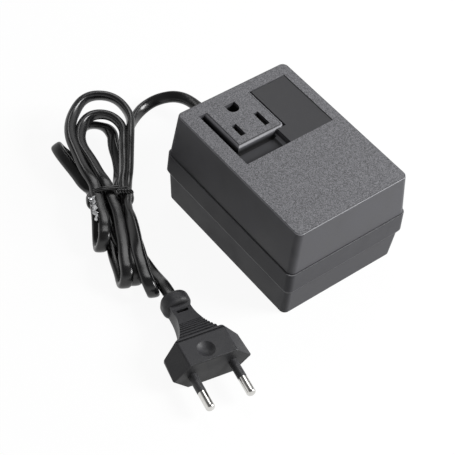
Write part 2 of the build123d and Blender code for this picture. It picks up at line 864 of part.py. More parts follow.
strain_relief.part.label = "strain_relief"
export_step(strain_relief.part, "parts/strain_relief.step")

# Cord inside the relief and the case
inner_end_y = collar_plane.origin.Y - relief_collar_thickness - inner_cord_length
inner_plane = Plane(
    origin=(relief_exit_x, relief_tip_y, relief_exit_height), x_dir=(1, 0, 0), z_dir=(0, -1, 0)
)
with BuildPart() as cord_inner:
    with BuildSketch(inner_plane):
        Circle(cord_diameter / 2)
    extrude(amount=relief_tip_y - inner_end_y)
cord_inner.part.label = "cord_inner"
export_step(cord_inner.part, "parts/cord_inner.step")

# Clamp bar over the cord, with a half-round groove
clamp_base = clamp_post_top + post_joint_gap
clamp_places = [
    (relief_exit_x - clamp_screw_spacing / 2, clamp_y),
    (relief_exit_x + clamp_screw_spacing / 2, clamp_y),
]
clamp_plane = Plane(
    origin=(relief_exit_x, clamp_y - clamp_length / 2 - overrun, relief_exit_height),
    x_dir=(1, 0, 0),
    z_dir=(0, 1, 0),
)
with BuildPart() as cord_clamp:
    with BuildSketch(level(clamp_base)):
        with Locations((relief_exit_x, clamp_y)):
            RectangleRounded(clamp_width, clamp_length, clamp_length / 3)
    extrude(amount=clamp_height)
    with BuildSketch(clamp_plane):
        Circle(cord_diameter / 2 + cord_bore_clearance)
    extrude(amount=clamp_length + 2 * overrun, mode=Mode.SUBTRACT)
    with BuildSketch(level(clamp_base - overrun)):
        with Locations(*clamp_places):
            Circle(clamp_screw_radius + screw_clearance)
    extrude(amount=clamp_height + 2 * overrun, mode=Mode.SUBTRACT)
cord_clamp.part.label = "cord_clamp"
export_step(cord_clamp.part, "parts/cord_clamp.step")

with BuildPart() as clamp_screws:
    add(
        screw_set(
            Plane(origin=(0, 0, clamp_base + clamp_height), x_dir=(1, 0, 0), z_dir=(0, 0, -1)),
            [(x, -y) for x, y in clamp_places],
            clamp_screw_radius,
            clamp_screw_head_radius,
            clamp_screw_head_height,
            clamp_screw_length,
        )
    )
clamp_screws.part.label = "clamp_screws"
export_step(clamp_screws.part, "parts/clamp_screws.step")


def bend_radii(route):
    """A radius for each inner point of a route, as large as its two runs allow."""
    radii = []
    for before, corner, after in zip(route[:-2], route[1:-1], route[2:]):
        run_in = Vector(*corner) - Vector(*before)
        run_out = Vector(*after) - Vector(*corner)
        turn = run_in.get_angle(run_out)
        radii.append(0.45 * min(run_in.length, run_out.length) / tan(radians(turn) / 2))
    return radii


def tube(route, radius, name):
    """A round tube along straight runs joined by arcs, its radii printed."""
    radii = bend_radii(route)
    with BuildPart() as piece:
        with BuildLine() as path:
            FilletPolyline(*route, radius=radii)
        spine = path.wires()[0]
        with BuildSketch(Plane(origin=spine @ 0, z_dir=spine % 0)):
            Circle(radius)
        sweep(path=spine)
    print(
        f"{name}: length {spine.length:.1f}, radii",
        " ".join(f"{value:.1f}" for value in radii),
        f"volume {piece.part.volume:.0f} of {spine.length * pi * radius**2:.0f}",
    )
    return piece.part


# Leads: two from the cord to the winding, two from the winding up to the contacts
low_lead_z = coil_middle - core_stack / 2 - flange_overhang / 2
high_lead_z = coil_middle + core_stack / 2 + flange_overhang / 2
tab_end_z = contact_bottom - tab_length
lead_drop_y = core_back + lead_drop_gap


def supply_lead(side):
    start_x = relief_exit_x + side * lead_spacing / 2
    end_x = core_leg / 2 + side * lead_spacing
    return [
        (start_x, inner_end_y, relief_exit_height),
        (start_x, between(inner_end_y, bobbin_back, 0.3), relief_exit_height),
        (end_x, between(inner_end_y, bobbin_back, 0.7), low_lead_z),
        (end_x, bobbin_back, low_lead_z),
    ]


def outlet_lead(slot_x, start_x):
    dip = tab_end_z - lead_dip
    return [
        (start_x, bobbin_back, high_lead_z),
        (start_x, between(bobbin_back, lead_drop_y, 0.55), high_lead_z),
        (between(start_x, slot_x, 0.6), lead_drop_y, between(high_lead_z, dip, 0.4)),
        (between(start_x, slot_x, 0.9), lead_drop_y + lead_radius / 2, between(high_lead_z, dip, 0.8)),
        (slot_x, between(lead_drop_y, socket_y, 0.4), dip - lead_radius),
        (slot_x, socket_y, dip),
        (slot_x, socket_y, tab_end_z),
    ]


with BuildPart() as supply_lead_a:
    add(tube(supply_lead(-1), lead_radius, "supply_lead_a"))
supply_lead_a.part.label = "supply_lead_a"
export_step(supply_lead_a.part, "parts/supply_lead_a.step")

with BuildPart() as supply_lead_b:
    add(tube(supply_lead(1), lead_radius, "supply_lead_b"))
supply_lead_b.part.label = "supply_lead_b"
export_step(supply_lead_b.part, "parts/supply_lead_b.step")

with BuildPart() as outlet_lead_a:
    add(tube(outlet_lead(slot_places[0], slot_places[0] + lead_spacing), lead_radius, "outlet_lead_a"))
outlet_lead_a.part.label = "outlet_lead_a"
export_step(outlet_lead_a.part, "parts/outlet_lead_a.step")

with BuildPart() as outlet_lead_b:
    add(tube(outlet_lead(slot_places[1], slot_places[1] - lead_spacing), lead_radius, "outlet_lead_b"))
outlet_lead_b.part.label = "outlet_lead_b"
export_step(outlet_lead_b.part, "parts/outlet_lead_b.step")

# Plug's own frame: q across, p forward along the pins, h up
plug_ahead = Vector(cos(radians(plug_angle)), sin(radians(plug_angle)), 0)
plug_across = Vector(plug_ahead.Y, -plug_ahead.X, 0)
plug_middle = Vector(plug_x, plug_y, plug_height / 2 + plug_table_gap)
plug_plane = Plane(origin=plug_middle, x_dir=plug_across, z_dir=(0, 0, 1))
face_plane = Plane(origin=plug_middle, x_dir=plug_across, z_dir=-plug_ahead)
side_plane = Plane(origin=plug_middle, x_dir=plug_ahead, z_dir=plug_across)
plug_back = plug_middle - plug_ahead * plug_end

# Cord's free stretches
exit_route = [
    (relief_exit_x, relief_tip_y, relief_exit_height),
    (relief_exit_x, relief_tip_y + exit_run, relief_exit_height),
] + exit_way
plug_route = plug_way + [tuple(plug_back - plug_ahead * plug_run), tuple(plug_back)]

with BuildPart() as cord_exit:
    add(tube(exit_route, cord_diameter / 2, "cord_exit"))
cord_exit.part.label = "cord_exit"
export_step(cord_exit.part, "parts/cord_exit.step")

with BuildPart() as cord_plug_run:
    add(tube(plug_route, cord_diameter / 2, "cord_plug_run"))
cord_plug_run.part.label = "cord_plug_run"
export_step(cord_plug_run.part, "parts/cord_plug_run.step")

# Hank: stops along the cord, each a place and a way, joined by pairs of arcs
hank_u = Vector(cos(radians(hank_angle)), sin(radians(hank_angle)), 0)
hank_v = Vector(hank_u.Y, -hank_u.X, 0)
hank_origin = Vector(hank_x, hank_y, 0)
table_level = cord_diameter / 2 + cord_table_gap
stops = []


def stop(place, way):
    """Adds one stop given in the hank's own frame."""
    point = hank_origin + hank_u * place[0] + hank_v * place[1] + Vector(0, 0, place[2])
    heading = hank_u * way[0] + hank_v * way[1] + Vector(0, 0, way[2])
    stops.append((point, heading.normalized()))


def column(number):
    return (number - (hank_columns + 1) / 2) * column_pitch


def waist(number, height, way):
    """The cord's pass under the tie in one column: way is 1 towards the upper loops."""
    stop((0, column(number), height), (way, 0, 0))


def fold(number, sizes, height, rising, over=None):
    """A lower fold: out along one layer, round a half turn on edge, back along the other."""
    reach, end, radius = sizes
    slope = (end - column(number)) / reach * fold_lean_share
    back = radius / hypot(1, slope)
    near = (-reach + back, end - slope * back)
    outward = (-1, slope, 0)
    homeward = (1, -slope, 0)
    low = (near[0], near[1], height)
    high = (near[0], near[1], height + 2 * radius)
    first, last = (low, high) if rising else (high, low)
    if over:
        stop(over, outward)
    stop(first, outward)
    stop((-reach, end, height + radius), (0, 0, 1 if rising else -1))
    stop(last, homeward)
    if over:
        stop((over[0], over[1], crossing_return_height), homeward)


def loop(places, ways):
    for place, way in zip(places, ways):
        stop(place, way)


# The cord comes in from the relief, straight for one diameter
entry = Vector(*exit_route[-1])
entry_way = (entry - Vector(*exit_route[-2])).normalized()
stops.append((entry, entry_way))
stops.append((entry + entry_way * cord_diameter, entry_way))
waist(5, layer_low, -1)
fold(5, fold_first, first_fold_height, True, over=crossing)
waist(5, layer_high, 1)
loop(outer_loop, outer_loop_way_shares)
waist(1, layer_high, -1)
fold(1, fold_second, table_level, False)
waist(1, layer_low, 1)
# The left loop stands almost on edge: its half turn leans by a step sideways and a rise
lean_side = Vector(-left_loop_way_shares[1][1], left_loop_way_shares[1][0], 0) * left_loop_lean
lean = (lean_side.X, lean_side.Y, left_loop_rise)
lean_length = hypot(*lean)
left_apex = [
    left_loop_corner[k] + lean[k] / 2 + left_loop_way_shares[1][k] * lean_length / 2 for k in range(3)
]
left_return = [left_loop_corner[k] + lean[k] for k in range(3)]
stop(left_loop_start, left_loop_way_shares[0])
stop(left_loop_corner, left_loop_way_shares[1])
stop(left_apex, lean)
stop(left_return, left_loop_way_shares[2])
stop(left_loop_end, left_loop_way_shares[3])
waist(2, layer_low, -1)
fold(2, fold_third, table_level, True)
waist(2, layer_high, 1)
loop(inner_loop, inner_loop_way_shares)
waist(3, layer_high, -1)
fold(3, fold_fourth, table_level, False)
waist(3, layer_low, 1)
loop(right_loop, right_loop_way_shares)
waist(4, layer_low, -1)
# It leaves towards the plug, straight for one diameter
stop(plug_side_point, plug_side_way_share)
leaving = Vector(*plug_route[0])
leaving_way = (Vector(*plug_route[1]) - leaving).normalized()
stops.append((leaving - leaving_way * cord_diameter, leaving_way))
stops.append((leaving, leaving_way))


def arc_joint(start, start_way, end, end_way):
    """Where two arcs that join two stops meet, and the way there."""
    chord = end - start
    ways = start_way + end_way
    spread = 2 * (1 - start_way.dot(end_way))
    along = chord.dot(ways)
    if spread > parallel_share:
        reach = (sqrt(along**2 + spread * chord.dot(chord)) - along) / spread
    else:
        reach = chord.dot(chord) / (4 * chord.dot(end_way))
    before = start + start_way * reach
    after = end - end_way * reach
    return (before + after) / 2, (after - before).normalized()


def arc_points(start, way, end):
    """Points along the arc that leaves start along way and ends at end, its radius and length."""
    chord = end - start
    flat = chord.cross(way).length / chord.length
    if flat < straight_share:
        count = ceil(chord.length / gap_step)
        return [start + chord * (k / count) for k in range(count)], straight_radius, chord.length
    radius = chord.length / (2 * flat)
    inward = (chord - way * chord.dot(way)).normalized()
    centre = start + inward * radius
    turn = 2 * asin(min(1, flat))
    if chord.dot(way) < 0:
        turn = 2 * pi - turn
    count = ceil(radius * turn / gap_step)
    angles = [turn * k / count for k in range(count)]
    points = [centre - inward * (radius * cos(a)) + way * (radius * sin(a)) for a in angles]
    return points, radius, radius * turn


hank_points = []
hank_radii = []
hank_length = 0
with BuildLine() as hank_path:
    for (start, start_way), (end, end_way) in zip(stops[:-1], stops[1:]):
        across = (end - start).cross(start_way).length
        if across < straight_share and start_way.dot(end_way) > 1 - straight_share:
            halves = [(start, start_way, end)]
        else:
            joint, joint_way = arc_joint(start, start_way, end, end_way)
            halves = [(start, start_way, joint), (joint, joint_way, end)]
        for half_start, half_way, half_end in halves:
            points, radius, length = arc_points(half_start, half_way, half_end)
            if radius == straight_radius:
                Line(half_start, half_end)
            else:
                TangentArc(half_start, half_end, tangent=half_way)
            hank_points += points
            hank_radii.append(radius)
            hank_length += length

with BuildPart() as cord_hank:
    with BuildSketch(Plane(origin=stops[0][0], z_dir=stops[0][1])):
        Circle(cord_diameter / 2)
    sweep(path=hank_path.wires()[0])
cord_hank.part.label = "cord_hank"
export_step(cord_hank.part, "parts/cord_hank.step")

# Least gap of the cord to itself, between places well apart along it
skip = ceil(gap_skip / gap_step)
samples = [tuple(point) for point in hank_points]
least = min(
    dist(samples[i], samples[j]) for i in range(len(samples)) for j in range(i + skip, len(samples))
)
print(
    f"cord_hank: length {hank_length:.1f}, arcs {len(hank_radii)}, least radius {min(hank_radii):.2f},",
    f"least gap {least - cord_diameter:.2f},",
    f"volume {cord_hank.part.volume:.0f} of {hank_length * pi * (cord_diameter / 2) ** 2:.0f}",
)

# Wire tie
tie_low = layer_low - cord_diameter / 2 - tie_clearance
tie_inner = (
    (hank_columns - 1) * column_pitch + cord_diameter + 2 * tie_clearance,
    layer_high - layer_low + cord_diameter + 2 * tie_clearance,
)
tie_outer = less(tie_inner, -tie_thickness)
tie_middle = hank_origin + Vector(0, 0, tie_low + tie_inner[1] / 2)
tie_plane = Plane(origin=tie_middle, x_dir=hank_v, z_dir=-hank_u)
knot_height = tie_outer[1] / 2 + tie_knot_radius - tie_thickness / 2
knot_plane = Plane(
    origin=tie_middle + hank_v * (tie_knot_end - tie_knot_length) + Vector(0, 0, knot_height),
    x_dir=hank_u,
    z_dir=hank_v,
)
with BuildPart() as cord_tie:
    with BuildSketch(tie_plane):
        RectangleRounded(tie_outer[0], tie_outer[1], tie_corner_radius + tie_thickness)
        RectangleRounded(tie_inner[0], tie_inner[1], tie_corner_radius, mode=Mode.SUBTRACT)
    extrude(amount=tie_width / 2, both=True)
    with BuildSketch(knot_plane):
        Circle(tie_knot_radius)
    extrude(amount=tie_knot_length)
    with BuildSketch(tie_plane):
        with Locations(
            (
                -tie_inner[0] / 2 - tie_thickness / 2,
                tie_inner[1] / 2 - tie_corner_radius - tie_tail_height / 2 - tie_tail_drop,
            )
        ):
            Rectangle(tie_thickness, tie_tail_height)
    extrude(amount=tie_tail_length)
cord_tie.part.label = "cord_tie"
export_step(cord_tie.part, "parts/cord_tie.step")

# Plug body: plan outline, hexagonal section and side profile cut from one block
half_height = plug_height / 2
flank = [
    (plug_shoulder_width / 2, -plug_shoulder),
    (plug_waist_width / 2, -plug_waist),
    (plug_neck_width / 2, -plug_neck),
]


def neck_top(back):
    """Height of the neck's upper face over the plug's middle plane, at a distance from the face."""
    share = (back - plug_shoulder) / (plug_neck - plug_shoulder)
    return between(half_height, plug_neck_height / 2, min(max(share, 0), 1))


def on_plug(across, ahead, up):
    """A place in the plug's own frame, turned with it."""
    return plug_plane.location * Location((across, ahead, up))


pin_places = [(-pin_spacing / 2, 0), (pin_spacing / 2, 0)]

# Rounded collar round the neck's end
with BuildPart() as plug_collar:
    with BuildSketch(face_plane.offset(collar_start)):
        RectangleRounded(collar_width, collar_height, collar_corner)
    extrude(amount=plug_end - collar_start)
    collar_ends = plug_collar.faces().sort_by(Axis(plug_middle, plug_ahead))
    fillet(collar_ends[0].edges() + collar_ends[-1].edges(), collar_round)

with BuildPart() as plug_body:
    with BuildSketch(plug_plane.offset(-half_height)) as plug_plan:
        with BuildLine():
            Polyline(flank[0], (plug_back_width / 2, -plug_straight), (plug_width / 2, 0), (0, 0))
            ThreePointArc(*flank)
            Polyline(flank[2], (plug_neck_width / 2, -plug_end + overrun), (0, -plug_end + overrun))
            mirror(about=Plane.YZ)
        make_face()
    extrude(amount=plug_height)
    with BuildSketch(face_plane) as plug_section:
        with BuildLine():
            Polyline(
                (-plug_width / 2, 0),
                (-plug_flat_width / 2, half_height),
                (plug_flat_width / 2, half_height),
                (plug_width / 2, 0),
                (plug_flat_width / 2, -half_height),
                (-plug_flat_width / 2, -half_height),
                close=True,
            )
        make_face()
        corners = plug_section.vertices().group_by(Axis.Y)
        fillet(corners[2], plug_top_round)
        fillet(corners[1], plug_side_round)
        fillet(corners[0], plug_bottom_round)
    extrude(amount=plug_end, mode=Mode.INTERSECT)
    with BuildSketch(side_plane):
        with BuildLine():
            Polyline(
                (0, half_height),
                (-plug_shoulder, half_height),
                (-plug_neck, plug_neck_height / 2),
                (-plug_end, plug_neck_height / 2),
                (-plug_end, -plug_neck_height / 2),
                (-plug_neck, -plug_neck_height / 2),
                (-plug_shoulder, -half_height),
                (0, -half_height),
                close=True,
            )
        make_face()
    extrude(amount=plug_width, both=True, mode=Mode.INTERSECT)
    add(plug_collar.part)
    face_edges = plug_body.faces().sort_by(Axis(plug_middle, plug_ahead))[-1].edges()
    fillet(face_edges, plug_face_round)
    dimple_ball = (dimple_radius**2 + dimple_depth**2) / (2 * dimple_depth)
    with Locations(on_plug(dimple_side, -dimple_back, half_height - dimple_depth + dimple_ball)):
        Sphere(dimple_ball, mode=Mode.SUBTRACT)
    for groove in range(plug_grooves):
        groove_share = groove / (plug_grooves - 1)
        groove_back = groove_first + groove * groove_pitch - groove_pitch_loss * groove * (groove - 1) / 2
        groove_level = neck_top(groove_back) - between(groove_deep, groove_shallow, groove_share)
        for side in (-1, 1):
            with Locations(on_plug(0, -groove_back, side * (groove_level + plug_height / 4))):
                Box(
                    plug_width,
                    between(groove_wide, groove_narrow, groove_share),
                    plug_height / 2,
                    mode=Mode.SUBTRACT,
                )
    with Locations(on_plug(slit_side, -slit_back, neck_top(slit_back))):
        Box(slit_width, slit_length, 2 * slit_depth, mode=Mode.SUBTRACT)
    # Room for the pins' roots and the bridge that holds them
    with BuildSketch(face_plane.offset(bridge_back - bridge_clearance)):
        Rectangle(bridge_width + 2 * bridge_clearance, bridge_height + 2 * bridge_clearance)
    extrude(amount=bridge_length + 2 * bridge_clearance, mode=Mode.SUBTRACT)
    with BuildSketch(face_plane):
        with Locations(*pin_places):
            Circle(pin_core_radius + pin_clearance)
    extrude(amount=pin_root + pin_clearance, mode=Mode.SUBTRACT)
plug_body.part.label = "plug_body"
export_step(plug_body.part, "parts/plug_body.step")

with BuildPart() as plug_pin_bridge:
    with BuildSketch(face_plane.offset(bridge_back)):
        Rectangle(bridge_width, bridge_height)
        with Locations(*pin_places):
            Circle(pin_core_radius + pin_clearance, mode=Mode.SUBTRACT)
    extrude(amount=bridge_length)
plug_pin_bridge.part.label = "plug_pin_bridge"
export_step(plug_pin_bridge.part, "parts/plug_pin_bridge.step")

with BuildPart() as plug_pins:
    with BuildSketch(face_plane.offset(pin_root)):
        with Locations(*pin_places):
            Circle(pin_core_radius)
    extrude(amount=-pin_root - sleeve_length)
    with BuildSketch(face_plane.offset(-sleeve_length)):
        with Locations(*pin_places):
            Circle(pin_radius)
    extrude(amount=sleeve_length - pin_length)
    tips = plug_pins.edges().filter_by(GeomType.CIRCLE).group_by(Axis((0, 0, 0), plug_ahead))[-1]
    fillet(tips, pin_tip_round)
plug_pins.part.label = "plug_pins"
export_step(plug_pins.part, "parts/plug_pins.step")

with BuildPart() as pin_sleeves:
    with BuildSketch(face_plane):
        with Locations(*pin_places):
            Circle(pin_radius)
            Circle(pin_core_radius + pin_clearance, mode=Mode.SUBTRACT)
    extrude(amount=pin_clearance - sleeve_length)
pin_sleeves.part.label = "pin_sleeves"
export_step(pin_sleeves.part, "parts/pin_sleeves.step")
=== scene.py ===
from math import cos, sin, radians, sqrt, pi

import bmesh
import bpy
from mathutils import Matrix, Vector, noise


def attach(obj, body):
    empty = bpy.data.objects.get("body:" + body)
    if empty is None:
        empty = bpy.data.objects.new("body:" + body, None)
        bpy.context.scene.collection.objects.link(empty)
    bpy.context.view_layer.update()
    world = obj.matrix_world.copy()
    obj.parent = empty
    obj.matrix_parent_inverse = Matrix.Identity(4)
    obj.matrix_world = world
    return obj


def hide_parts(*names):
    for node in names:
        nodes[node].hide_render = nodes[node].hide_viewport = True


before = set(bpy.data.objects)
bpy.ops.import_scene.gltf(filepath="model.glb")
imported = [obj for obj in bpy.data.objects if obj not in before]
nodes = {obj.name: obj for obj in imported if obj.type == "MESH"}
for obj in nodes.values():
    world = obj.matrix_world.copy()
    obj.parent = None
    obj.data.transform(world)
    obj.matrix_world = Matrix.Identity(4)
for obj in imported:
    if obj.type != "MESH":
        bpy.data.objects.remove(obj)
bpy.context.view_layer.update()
print("travel converter:", len(nodes), "solids loaded")

mm = 0.001
mergeDistance = 0.001 * mm


# the camera stands where the photograph was taken from
cameraSettings = {
    "place": (-0.3220, -0.3115, 0.5087),
    "right": (0.7874, -0.6113, 0.0788),
    "up": (0.4241, 0.6300, 0.6508),
    "openingDegrees": 17.249,
    "nearest": 0.05,
    "farthest": 20,
}

camera = bpy.data.objects.new("camera", bpy.data.cameras.new("camera"))
bpy.context.scene.collection.objects.link(camera)
cameraRight = Vector(cameraSettings["right"]).normalized()
cameraBack = cameraRight.cross(Vector(cameraSettings["up"])).normalized()
cameraUp = cameraBack.cross(cameraRight)
cameraTurn = Matrix((cameraRight, cameraUp, cameraBack)).transposed().to_4x4()
camera.matrix_world = Matrix.Translation(cameraSettings["place"]) @ cameraTurn
camera.data.angle = radians(cameraSettings["openingDegrees"])
camera.data.clip_start = cameraSettings["nearest"]
camera.data.clip_end = cameraSettings["farthest"]
bpy.context.scene.camera = camera
print("camera set")


def linkMesh(name, bm, smooth=True):
    # a finished bmesh becomes a piece that rides with the converter
    mesh = bpy.data.meshes.new(name)
    for face in bm.faces:
        face.smooth = smooth
    bm.to_mesh(mesh)
    bm.free()
    piece = bpy.data.objects.new(name, mesh)
    bpy.context.scene.collection.objects.link(piece)
    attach(piece, "root")
    return piece


def smoothLine(name, corners, steps):
    # the points of a NURBS spline that has the corners as its control points
    data = bpy.data.curves.new(name, "CURVE")
    data.dimensions = "3D"
    spline = data.splines.new("NURBS")
    spline.points.add(len(corners) - 1)
    for point, corner in zip(spline.points, corners):
        point.co = (*corner, 1)
    spline.order_u = 3
    spline.use_endpoint_u = True
    spline.resolution_u = steps
    holder = bpy.data.objects.new(name, data)
    line = bpy.data.meshes.new_from_object(holder)
    found = [vertex.co.copy() for vertex in line.vertices]
    bpy.data.objects.remove(holder)
    bpy.data.curves.remove(data)
    bpy.data.meshes.remove(line)
    return found


def steadyWides(corners, wides):
    # each wide way square to the line, and on the side that its neighbour has
    steady = []
    for index, wide in enumerate(wides):
        before = corners[max(index - 1, 0)]
        after = corners[min(index + 1, len(corners) - 1)]
        ahead = (after - before).normalized()
        wide = (wide - ahead * wide.dot(ahead)).normalized()
        if steady:
            carried = lastAhead.rotation_difference(ahead) @ steady[-1]
            if carried.dot(wide) < 0:
                wide = -wide
        steady.append(wide)
        lastAhead = ahead
    return steady


def sweptMesh(line, wides, outline):
    # a grid rolled round the line: its rows are the rings, its columns the outline's points
    rows, columns = len(line) - 1, len(outline)
    bm = bmesh.new()
    bmesh.ops.create_grid(bm, x_segments=rows, y_segments=columns, size=1.0)
    for vertex in bm.verts:
        row = round((vertex.co.x + 1) / 2 * rows)
        column = round((vertex.co.y + 1) / 2 * columns) % columns
        ahead = (line[min(row + 1, rows)] - line[max(row - 1, 0)]).normalized()
        wide = (wides[row] - ahead * wides[row].dot(ahead)).normalized()
        flat = ahead.cross(wide)
        across, high = outline[column]
        vertex.co = line[row] + wide * across + flat * high
    bmesh.ops.remove_doubles(bm, verts=bm.verts, dist=mergeDistance)
    bmesh.ops.holes_fill(bm, edges=[edge for edge in bm.edges if edge.is_boundary], sides=0)
    bmesh.ops.recalc_face_normals(bm, faces=bm.faces)
    return bm


def ovalOutline(width, thickness, sides, squareness=2.0):
    # a rounded flat outline: squareness 2 is an ellipse, more is nearer to a stadium
    found = []
    for index in range(sides):
        turn = 2 * pi * index / sides
        c, s = cos(turn), sin(turn)
        across = abs(c) ** (2 / squareness) * (1 if c >= 0 else -1)
        high = abs(s) ** (2 / squareness) * (1 if s >= 0 else -1)
        found.append((width / 2 * across, thickness / 2 * high))
    return found


# the mains cord: a flat twin lead, with its section and route in millimetres
cordRoute = {
    "width": 5.5,
    "thickness": 3.5,
    "roundness": 3.0,
    "length": 0.968,  # in metres, within 2 mm of the three solids that it stands for
    "exitWay": [(8.5, 64.075, 9.5), (8.5, 75.2, 9.5), (5.4, 84.8, 8.2), (-1.6, 90.2, 5.6),
                (-9.6, 90.9, 3.9), (-17.0, 88.2, 3.0)],
    "hankStart": (-24.1, 82.7, 2.9),
    "plugWay": [(-64.1, 16.05, 2.15), (-65.0, 8.0, 2.15), (-66.0, 1.7, 4.2),
                (-67.637, -4.869, 7.55), (-69.021, -11.731, 7.55)],
    "hankPlace": (-54.9, 54.2),
    "hankDegrees": 62.0,
    "table": 2.15,  # height of a run that lies flat on the table
    # where the runs pass under the tie: across and height at its upper side, then at its lower side
    "underTie": {"leftTop": (-7.0, 11.6, -6.5, 11.6), "leftMiddle": (-7.4, 7.6, -7.4, 7.6),
                 "leftLow": (-7.0, 3.6, -6.8, 3.6), "middleTop": (-1.3, 11.0, 0.3, 10.8),
                 "middleLow": (-1.6, 6.2, -1.6, 6.2), "rightTop": (5.2, 10.6, 4.6, 7.6),
                 "rightLow": (2.8, 4.4, 3.2, 3.6), "outerTop": (7.7, 10.8, 6.2, 11.6),
                 "outerLow": (7.2, 4.6, 7.2, 4.6)},
    "tieStretch": (-3.0, -12.0),
    # straight ends of the hank, and how far aside the rail runs that gives each ring its wide way
    "straight": 4,
    "railReach": 5,
    # two ways are taken as one when they differ by less than this
    "sameWay": 1e-9,
    "stepsPerCorner": 12,
    "sides": 20,
}

hankTurn = radians(cordRoute["hankDegrees"])
hankAlong = Vector((cos(hankTurn), sin(hankTurn), 0))
hankAcross = Vector((sin(hankTurn), -cos(hankTurn), 0))
hankPlace = Vector((*cordRoute["hankPlace"], 0))
hankStops = []


def inHank(along, across, height):
    return hankAlong * along + hankAcross * across + Vector((0, 0, height))


level, onEdge = inHank(0, 1, 0), inHank(0, 0, 1)
# the wide way of a run that turns its narrow side to the upper left, and of one that turns its
# broad face there
leaning, facing = Vector((-0.447, -0.479, 0.755)), inHank(-0.305, -0.842, -0.445)


def stop(place, way, wide):
    # a place that the cord runs through, the way it runs there, and its wide way
    hankStops.append((hankPlace + inHank(*place), inHank(*way).normalized(), wide))


def underTie(name, way):
    # flat runs lie on the left and in the middle, the others stand on edge
    upper, lower = cordRoute["tieStretch"]
    upperPlace = (upper, *cordRoute["underTie"][name][:2])
    lowerPlace = (lower, *cordRoute["underTie"][name][2:])
    slant = (lowerPlace[1] - upperPlace[1]) / (upper - lower)
    for place in (upperPlace, lowerPlace) if way < 0 else (lowerPlace, upperPlace):
        stop(place, (way, -way * slant, 0), onEdge if name[:5] in ("right", "outer") else level)


def fold(middle, way, radius, tilt, fromBelow, wide=level):
    # a round bend below the tie, out along a way: its upper run lies to the right by the tilt
    outward = Vector((*way, 0)).normalized()
    middle = Vector(middle)
    side = Vector((0, tilt, radius))
    low, high, end = middle - side, middle + side, middle + outward * side.length
    first, last = (low, high) if fromBelow else (high, low)
    stop(first, outward, wide)
    stop(end, last - first, wide)
    stop(last, -outward, wide)


def loop(places, ways, wides):
    for place, way, wide in zip(places, ways, wides):
        stop(place, way, wide)


hankStart = Vector(cordRoute["hankStart"])
startWay = (hankStart - Vector(cordRoute["exitWay"][-1])).normalized()
hankStops.append((hankStart, startWay, leaning))
hankStops.append((hankStart + startWay * cordRoute["straight"], startWay, leaning))
# the ways that the loops' sides run, away from the tie and back, and their ends, to the right or left
fromTie, toTie = (0.986, 0.168, 0), (-0.986, -0.168, 0)
rightwards, leftwards = (-0.102, 0.995, 0), (0.102, -0.995, 0)
# the wide ways on a loop's left side, at its top and on its right side
outwards = {"left": leaning + inHank(0, -1.1, 0), "top": leaning + inHank(0.45, 0, 0),
            "right": leaning + inHank(0, 0.35, 0)}
underTie("outerLow", -1)
# the outermost fold and the large loop
stop((-33.0, 8.0, 6.6), (-1, 0.12, 0), level)
fold((-56.5, 9.9, 7.8), (-1, 0.2), 4.1, -1.3, True)
stop((-46.5, 7.3, 12.6), (0.99, -0.12, 0.03), level)
stop((-29.0, 6.6, 12.8), (1, -0.05, 0), inHank(0, 0.8, 0.6))
underTie("outerTop", 1)
stop((8.9, 9.7, 12.3), (0.97, 0.14, 0.12), outwards["right"])
loop([(31.4, 13.1, 15.5), (48.9, 0.9, 18), (31.9, -14.6, 15.5), (11.5, -11.7, 13.6)],
     [fromTie, leftwards, toTie, (-0.97, 0.22, -0.08)],
     [outwards["right"], outwards["top"], outwards["left"], outwards["left"]])
underTie("leftTop", -1)
# the short fold on the left, and the flat loop that lies out to the left
stop((-22.0, -5.4, 11.5), (-1, 0.05, -0.03), level)
fold((-27.9, -7.0, 6.55), (-1, -0.06), 4.3, 1.2, False)
underTie("leftMiddle", 1)
loop([(5.2, -12.2, 8.0), (22.0, -20.0, 9.2), (28.2, -20.4, 6.4), (24.5, -15.6, 2.4), (9.5, -9.9, 2.6)],
     [(0.93, -0.37, 0.05), (0.925, -0.38, 0), (0.1, 0.45, -0.89), (-0.925, 0.38, 0), (-0.93, 0.34, 0)],
     [facing] * 5)
underTie("leftLow", -1)
# the long middle fold and the inner loop
stop((-30.0, -2.4, 2.4), (-1, 0.0, 0), level)
fold((-48.9, 0.2, 6.75), (-1, 0.04), 4.5, 0.9, True)
stop((-31.4, 1.4, 11.35), (1, -0.03, 0), level)
underTie("middleTop", 1)
loop([(7.8, -5.2, 12.4), (29.4, -10.3, 13.5), (40.3, 0.3, 14.2), (28.1, 9.4, 13), (10, 7.3, 11.5)],
     [(0.961, -0.276, 0.05), fromTie, rightwards, toTie, (-0.986, -0.1, 0)],
     [outwards["left"], outwards["left"], outwards["top"], outwards["right"], outwards["right"]])
underTie("rightTop", -1)
# the third fold, and the low loop inside the others
fold((-48.0, 4.6, 6.55), (-1, 0.05), 4.4, 0.3, False)
underTie("middleLow", 1)
loop([(17.5, -6.6, 5.2), (33.5, -9.6, 6.0), (40.9, -3.3, 6.9), (31.0, 5.1, 7.1), (15.1, 5.9, 6)],
     [(0.98, -0.2, 0.04), (0.99, 0.12, 0.05), rightwards, (-0.98, -0.1, -0.05), (-1, 0, -0.06)],
     [outwards["left"], leaning, inHank(-0.63, -0.17, 0.76), inHank(0, 1, 0.9), inHank(0, 1, 0.5)])
underTie("rightLow", -1)
stop((-23, 5.0, cordRoute["table"]), (-1, 0.3, 0), level)
plugStart = Vector(cordRoute["plugWay"][0])
plugWay = (Vector(cordRoute["plugWay"][1]) - plugStart).normalized()
hankStops.append((plugStart - plugWay * cordRoute["straight"], plugWay, level))
hankStops.append((plugStart, plugWay, level))

cordCorners = [Vector(place) for place in cordRoute["exitWay"]]
